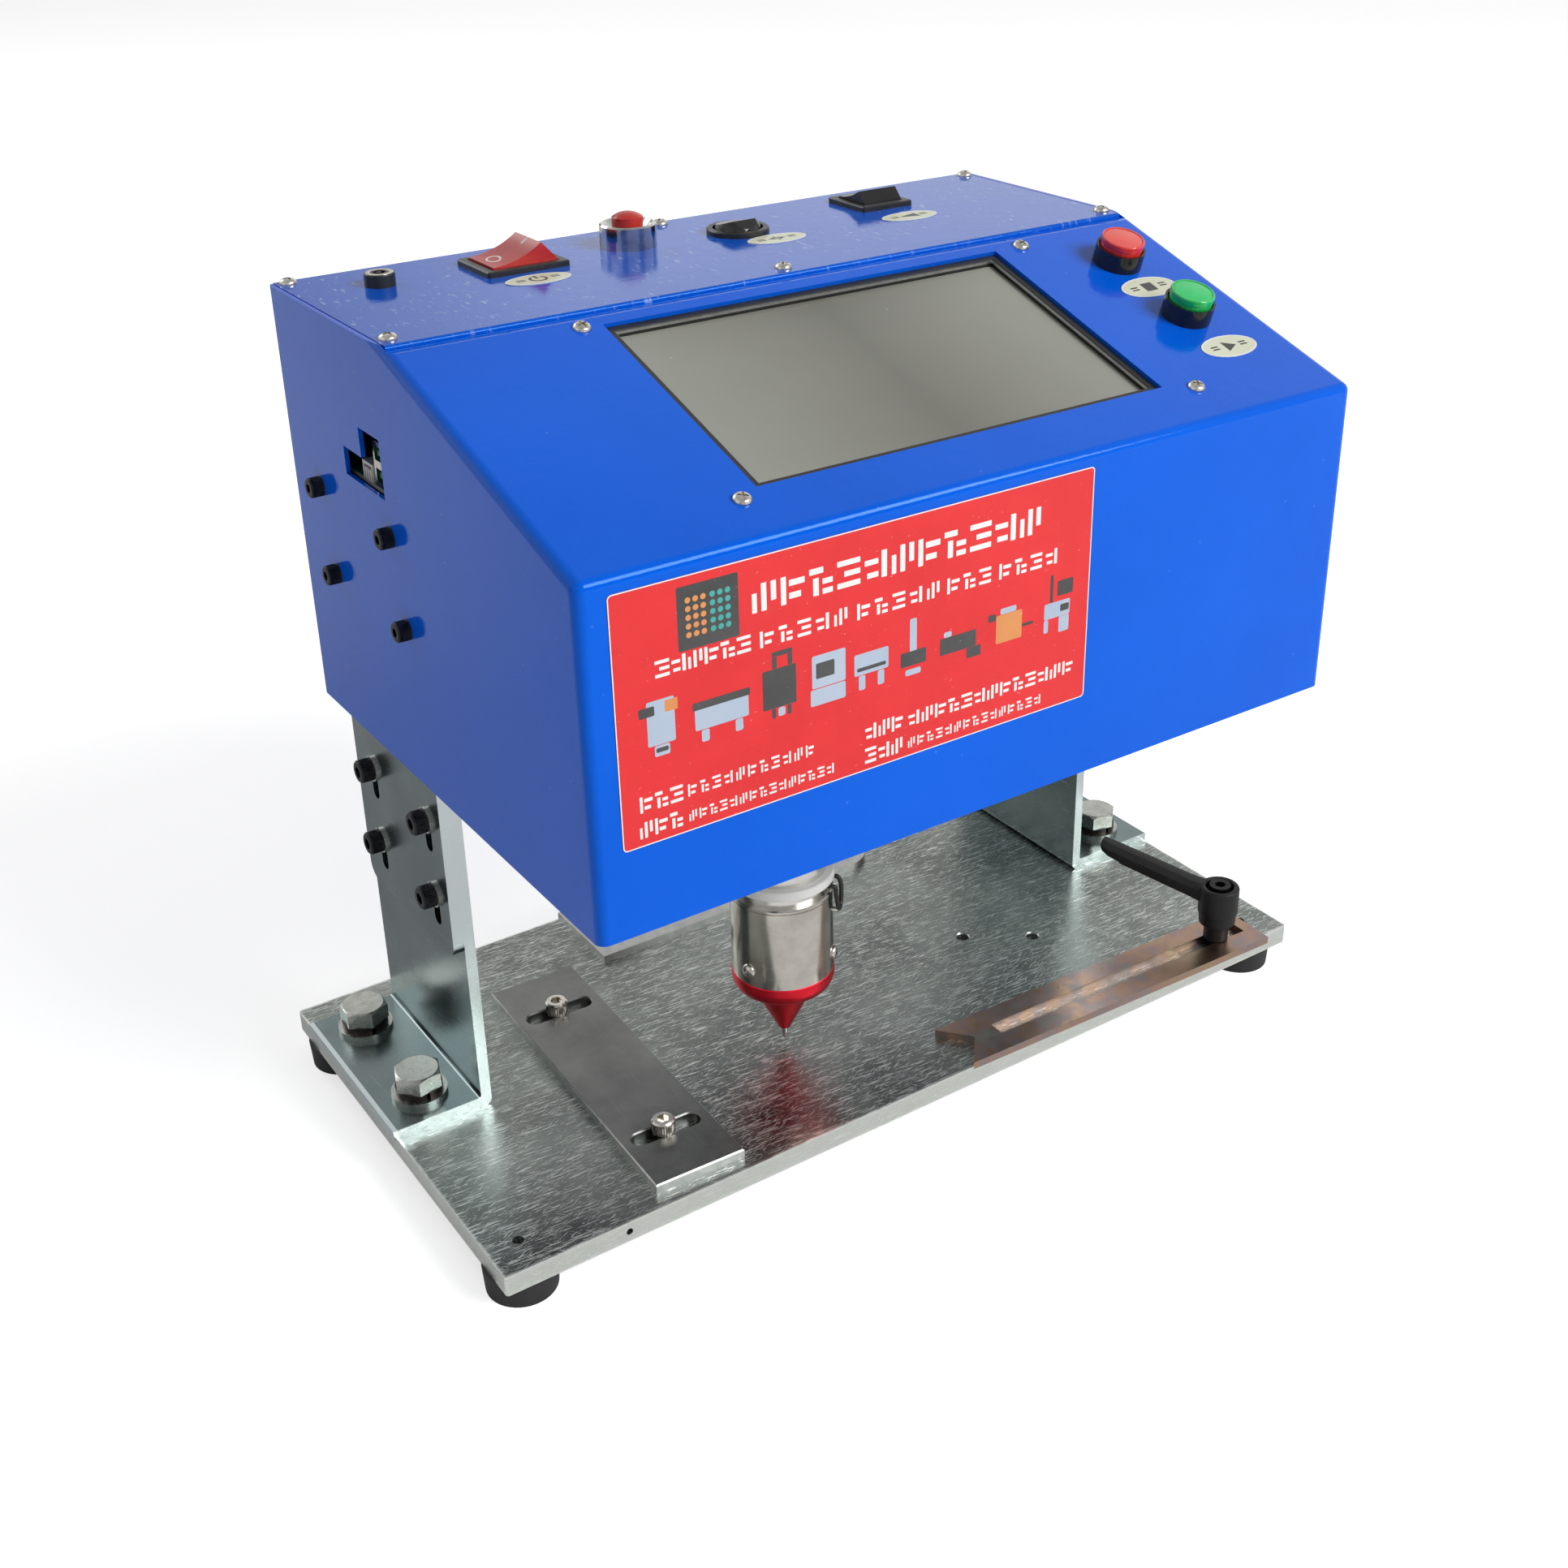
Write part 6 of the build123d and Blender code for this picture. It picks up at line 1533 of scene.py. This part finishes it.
capValues = {
    "radius": 7.9,
    "top": 10,
    "lip": 0.9,
    "foot": 4.6,
    "stem": 5.6,
    "stemFoot": -5,
    "facets": 28,
    "facetDepth": 0.2,
    "places": [(270.3, 30, "stop", "red"), (270.3, 68.1, "start", "green")],
}


def makeCaps(values):
    # clear caps: faceted skirt, groove, lip, and a disc a little sunk in the lip
    r, top, foot = values["radius"], values["top"], values["foot"]
    stem, stemFoot, rim = values["stem"], values["stemFoot"], r - values["lip"]
    cap = [
        (0, stemFoot), (stem, stemFoot), (stem, foot), (r - 0.25, foot), (r - 0.1, top - 3.0),
        (r - 0.25, top - 2.6), (r - 0.25, top - 2.3), (r, top - 2.0), (r, top - 0.5),
        (r - 0.15, top - 0.15), (r - 0.35, top), (rim, top), (rim - 0.1, top - 0.35), (0, top - 0.3),
    ]
    disc = [(0, top - 0.34), (rim - 0.2, top - 0.36), (rim - 0.2, top - 0.2)]
    disc += [(rim - 0.35, top - 0.16), (0, top - 0.14)]
    steps = values["facets"] * 2
    for a, s, key, colour in values["places"]:
        spot = slope @ Matrix.Translation((a, -s, 0))
        bm = bmesh.new()
        turned(bm, cap, steps)
        for v in bm.verts:
            # every other line of the skirt goes in, which leaves flat facets
            reach = math.hypot(v.co.x, v.co.y)
            if foot + 0.1 < v.co.z < top - 2.8 and reach > r - 1:
                if round(math.atan2(v.co.y, v.co.x) / math.tau * steps) % 2:
                    v.co.x *= 1 - values["facetDepth"] / reach
                    v.co.y *= 1 - values["facetDepth"] / reach
        slotName = colour + "_clear"
        addPiece(key + "Cap", bm, spot, key + "_key", slotName, key + "_button", angle=18)
        bm = bmesh.new()
        turned(bm, disc)
        addPiece(key + "Disc", bm, spot, key + "_key", slotName, finish=finishes[colour + "_disc"])


makeCaps(capValues)


jackValues = {
    "place": (30.2, 155.8, 0),
    "ring": [(3.1, 4.3), (4.75, 4.3), (4.7, 4.44), (4.5, 4.5), (3.3, 4.5), (3.1, 4.44)],
    "pin": [(0, -2), (0.7, -2), (0.7, 3.6), (0.5, 4.1), (0, 4.25)],
}


def fitJack(values):
    # bright ring and middle pin of the power jack
    jack = roof @ Matrix.Translation(values["place"])
    bm = bmesh.new()
    ringed(bm, values["ring"])
    addPiece("jackRing", bm, jack, "head", "nickel")
    bm = bmesh.new()
    turned(bm, values["pin"], 24)
    addPiece("jackPin", bm, jack, "head", "brass")


fitJack(jackValues)
print("controls made")


# control board behind the left opening

boardValues = {
    "left": 31.2,
    "top": 233.3,
    "usbY": 103.55,
    "usbWidth": 14.5,
    "usbHeight": 15.6,
    "usbLength": 17,
    "mouthWidth": 12.5,
    "mouthHeight": 5.1,
    "mouthShift": 3.8,
    "headerY": 117.2,
    "headerWidth": 8,
    "headerHeight": 6,
    "headerLength": 7,
    "headerWall": 1.0,
    "skin": 0.12,
    "shellWall": 0.3,
    "lip": 0.35,
    # two corners each; the contacts, tabs and pins are moved along Y from there
    "tab": ((0.6, -1.1, -0.75), (4.2, 1.1, -0.35)),
    "tabShift": 2.6,
    "tongue": ((0.9, -5.4, -0.2), (8.6, 5.4, 1.2)),
    "contact": ((1.2, -0.5, -0.32), (7.4, 0.5, -0.18)),
    "contactRow": (-3.9, -1.5, 0.9, 3.3),
    "pin": ((0.4, -0.3, 2.6), (5.8, 0.3, 3.2)),
    "pinRow": (-2.2, -0.2, 1.8),
}


def shiftedBlock(bm, corners, y, z):
    block(bm, *[(a, y + b, z + c) for a, b, c in corners])


def dressBoard(v):
    # local X into the machine from the wall opening, Z up
    wall = spotFrame(v["left"], v["usbY"], v["top"])
    half, skin, thick, over = v["usbWidth"] / 2, v["skin"], v["shellWall"], 0.1
    roofZ, far = v["usbHeight"] - thick, v["usbLength"] + skin
    inner, mouthHalf = half - thick, v["mouthHeight"] / 2
    mouths = [v["usbHeight"] / 2 + side * v["mouthShift"] for side in (-1, 1)]
    bm = bmesh.new()
    block(bm, (-skin, -half - skin, roofZ), (far, half + skin, v["usbHeight"] + skin))
    for side in (-1, 1):
        low, high = sorted((side * inner, side * (half + skin)))
        block(bm, (-skin, low, 0.05), (far, high, roofZ))
    lows = [0.05] + [z + mouthHalf - over for z in mouths]
    highs = [z - mouthHalf + over for z in mouths] + [roofZ]
    for low, high in zip(lows, highs):
        block(bm, (-skin - 0.05, -inner, low), (v["lip"], inner, high))
    for side in (-1, 1):
        for z in mouths:
            low, high = sorted((side * (v["mouthWidth"] / 2 - over), side * inner))
            bottom, top = z - mouthHalf + over, z + mouthHalf - over
            block(bm, (-skin - 0.05, low, bottom), (v["lip"], high, top))
            # folded spring tab of the shell
            shiftedBlock(bm, v["tab"], side * v["tabShift"], z + mouthHalf)
    addPiece("usbShell", bm, wall, "head", "nickel", angle=20)

    tongues, contacts = bmesh.new(), bmesh.new()
    for z in mouths:
        shiftedBlock(tongues, v["tongue"], 0, z)
        for y in v["contactRow"]:
            shiftedBlock(contacts, v["contact"], y, z)
    addPiece("usbTongues", tongues, wall, "head", "black_plastic", angle=20)
    addPiece("usbContacts", contacts, wall, "head", "brass", angle=20)

    # white pin header with its comb of walls
    plug = spotFrame(v["left"], v["headerY"], v["top"])
    w, h, l = v["headerWidth"] / 2 + 0.08, v["headerHeight"] + 0.08, v["headerLength"]
    thick = v["headerWall"]
    bm = bmesh.new()
    block(bm, (-0.1, -w, h - thick), (l, w, h))
    block(bm, (-0.1, -w, 0.04), (l, w, 0.9))
    for side in (-1, 1):
        low, high = sorted((side * (w - thick), side * w))
        block(bm, (-0.1, low, 0.9), (l, high, h - thick))
    for k in range(4):
        block(bm, (-0.5, -w + 0.5 + 1.9 * k, 0.04), (0.2, -w + 1.4 + 1.9 * k, h * 0.7))
    block(bm, (l - 1.2, -w, 0.9), (l, w, h - thick))
    addPiece("pinHeader", bm, plug, "head", "pale_label", finish=whitePlastic, angle=20)
    bm = bmesh.new()
    for y in v["pinRow"]:
        shiftedBlock(bm, v["pin"], y, 0)
    addPiece("headerPins", bm, plug, "head", "brass", angle=20)

    # pale cut edge of the board
    lowest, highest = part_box("control_board")
    bm = bmesh.new()
    y0, y1 = lowest.y / mm - deck.y + 0.2, highest.y / mm - deck.y - 0.2
    block(bm, (v["left"] - 0.06, y0, v["top"] - 1.45), (v["left"] + 0.3, y1, v["top"] - 0.12))
    addPiece("boardEdge", bm, spotFrame(0, 0, 0), "head", "green_board", finish=paleEdge, angle=20)


dressBoard(boardValues)
print("board dressed")


# clamp lever: hub, skirt and a bevelled arm

leverValues = {
    "x": 326.5,
    "y": 7.7,
    "angle": 120,
    "collar": 5,
    "collarTop": 10.5,
    "skirt": 7.4,
    "skirtTop": 15.5,
    "hub": 8.1,
    "hubTop": 27.6,
    "recess": 5.7,
    "recessDepth": 3.4,
    "foot": 3.05,
    "bevel": 2.3,
    "softness": 0.00035,
    "sections": [
        # distance, underside, top, width
        (6.1, 20.2, 27.9, 9.4), (12, 22.0, 28.7, 9.4), (22, 24.6, 31.2, 9.2),
        (32, 27.2, 33.7, 9.0), (41.2, 29.6, 35.9, 8.8), (41.6, 30.3, 36.0, 8.8),
        (46.5, 31.9, 37.2, 8.6), (49.0, 33.6, 37.9, 8.0), (49.9, 34.9, 38.0, 6.8),
    ],
}


def makeLever(v):
    turn = math.radians(v["angle"])
    placed = spotFrame(v["x"], v["y"], 0, (0, 0, 1), (math.cos(turn), math.sin(turn), 0))
    r, top, foot = v["hub"], v["hubTop"], v["foot"]
    collar, skirt, step, recess = v["collar"], v["skirt"], v["collarTop"], v["recess"]
    pit = top - v["recessDepth"]
    bm = bmesh.new()
    profile = [
        (0, foot), (collar - 0.4, foot), (collar, foot + 0.35), (collar, step), (skirt - 0.5, step),
        (skirt, step + 0.5), (skirt + 0.1, v["skirtTop"] - 0.25), (skirt + 0.1, v["skirtTop"]),
        (r - 0.25, v["skirtTop"]), (r, v["skirtTop"] + 0.3), (r - 0.05, top - 1.0), (r - 0.3, top - 0.35),
        (r - 0.9, top), (recess + 0.3, top), (recess, top - 0.3), (recess, pit), (0, pit),
    ]
    turned(bm, profile, 72)
    sections = []
    for s, low, high, width in v["sections"]:
        w, b = width / 2, v["bevel"] * min(1, width / 8)
        shoulder = high - min(b, (high - low) * 0.4) * 0.8
        half = [(w - 0.9, low), (w, low + 0.8), (w, shoulder), (w - b, high)]
        line = half + [(-y, z) for y, z in half[::-1]]
        sections.append([bm.verts.new((s, y, z)) for y, z in line])
    for a, b in zip(sections, sections[1:]):
        for k in range(8):
            n = (k + 1) % 8
            bm.faces.new((a[k], a[n], b[n], b[k]))
    bm.faces.new(sections[0])
    bm.faces.new(sections[-1][::-1])
    piece = asPiece("clampLever", bm, placed, finishes["lever_plastic"], 40)
    soften = piece.modifiers.new("soften", "BEVEL")
    soften.width = v["softness"]
    soften.segments = 2
    soften.limit_method = "ANGLE"
    soften.angle_limit = math.radians(28)
    fit(piece, "lever", "lever_plastic", "clamp_lever")


makeLever(leverValues)
print("lever made")
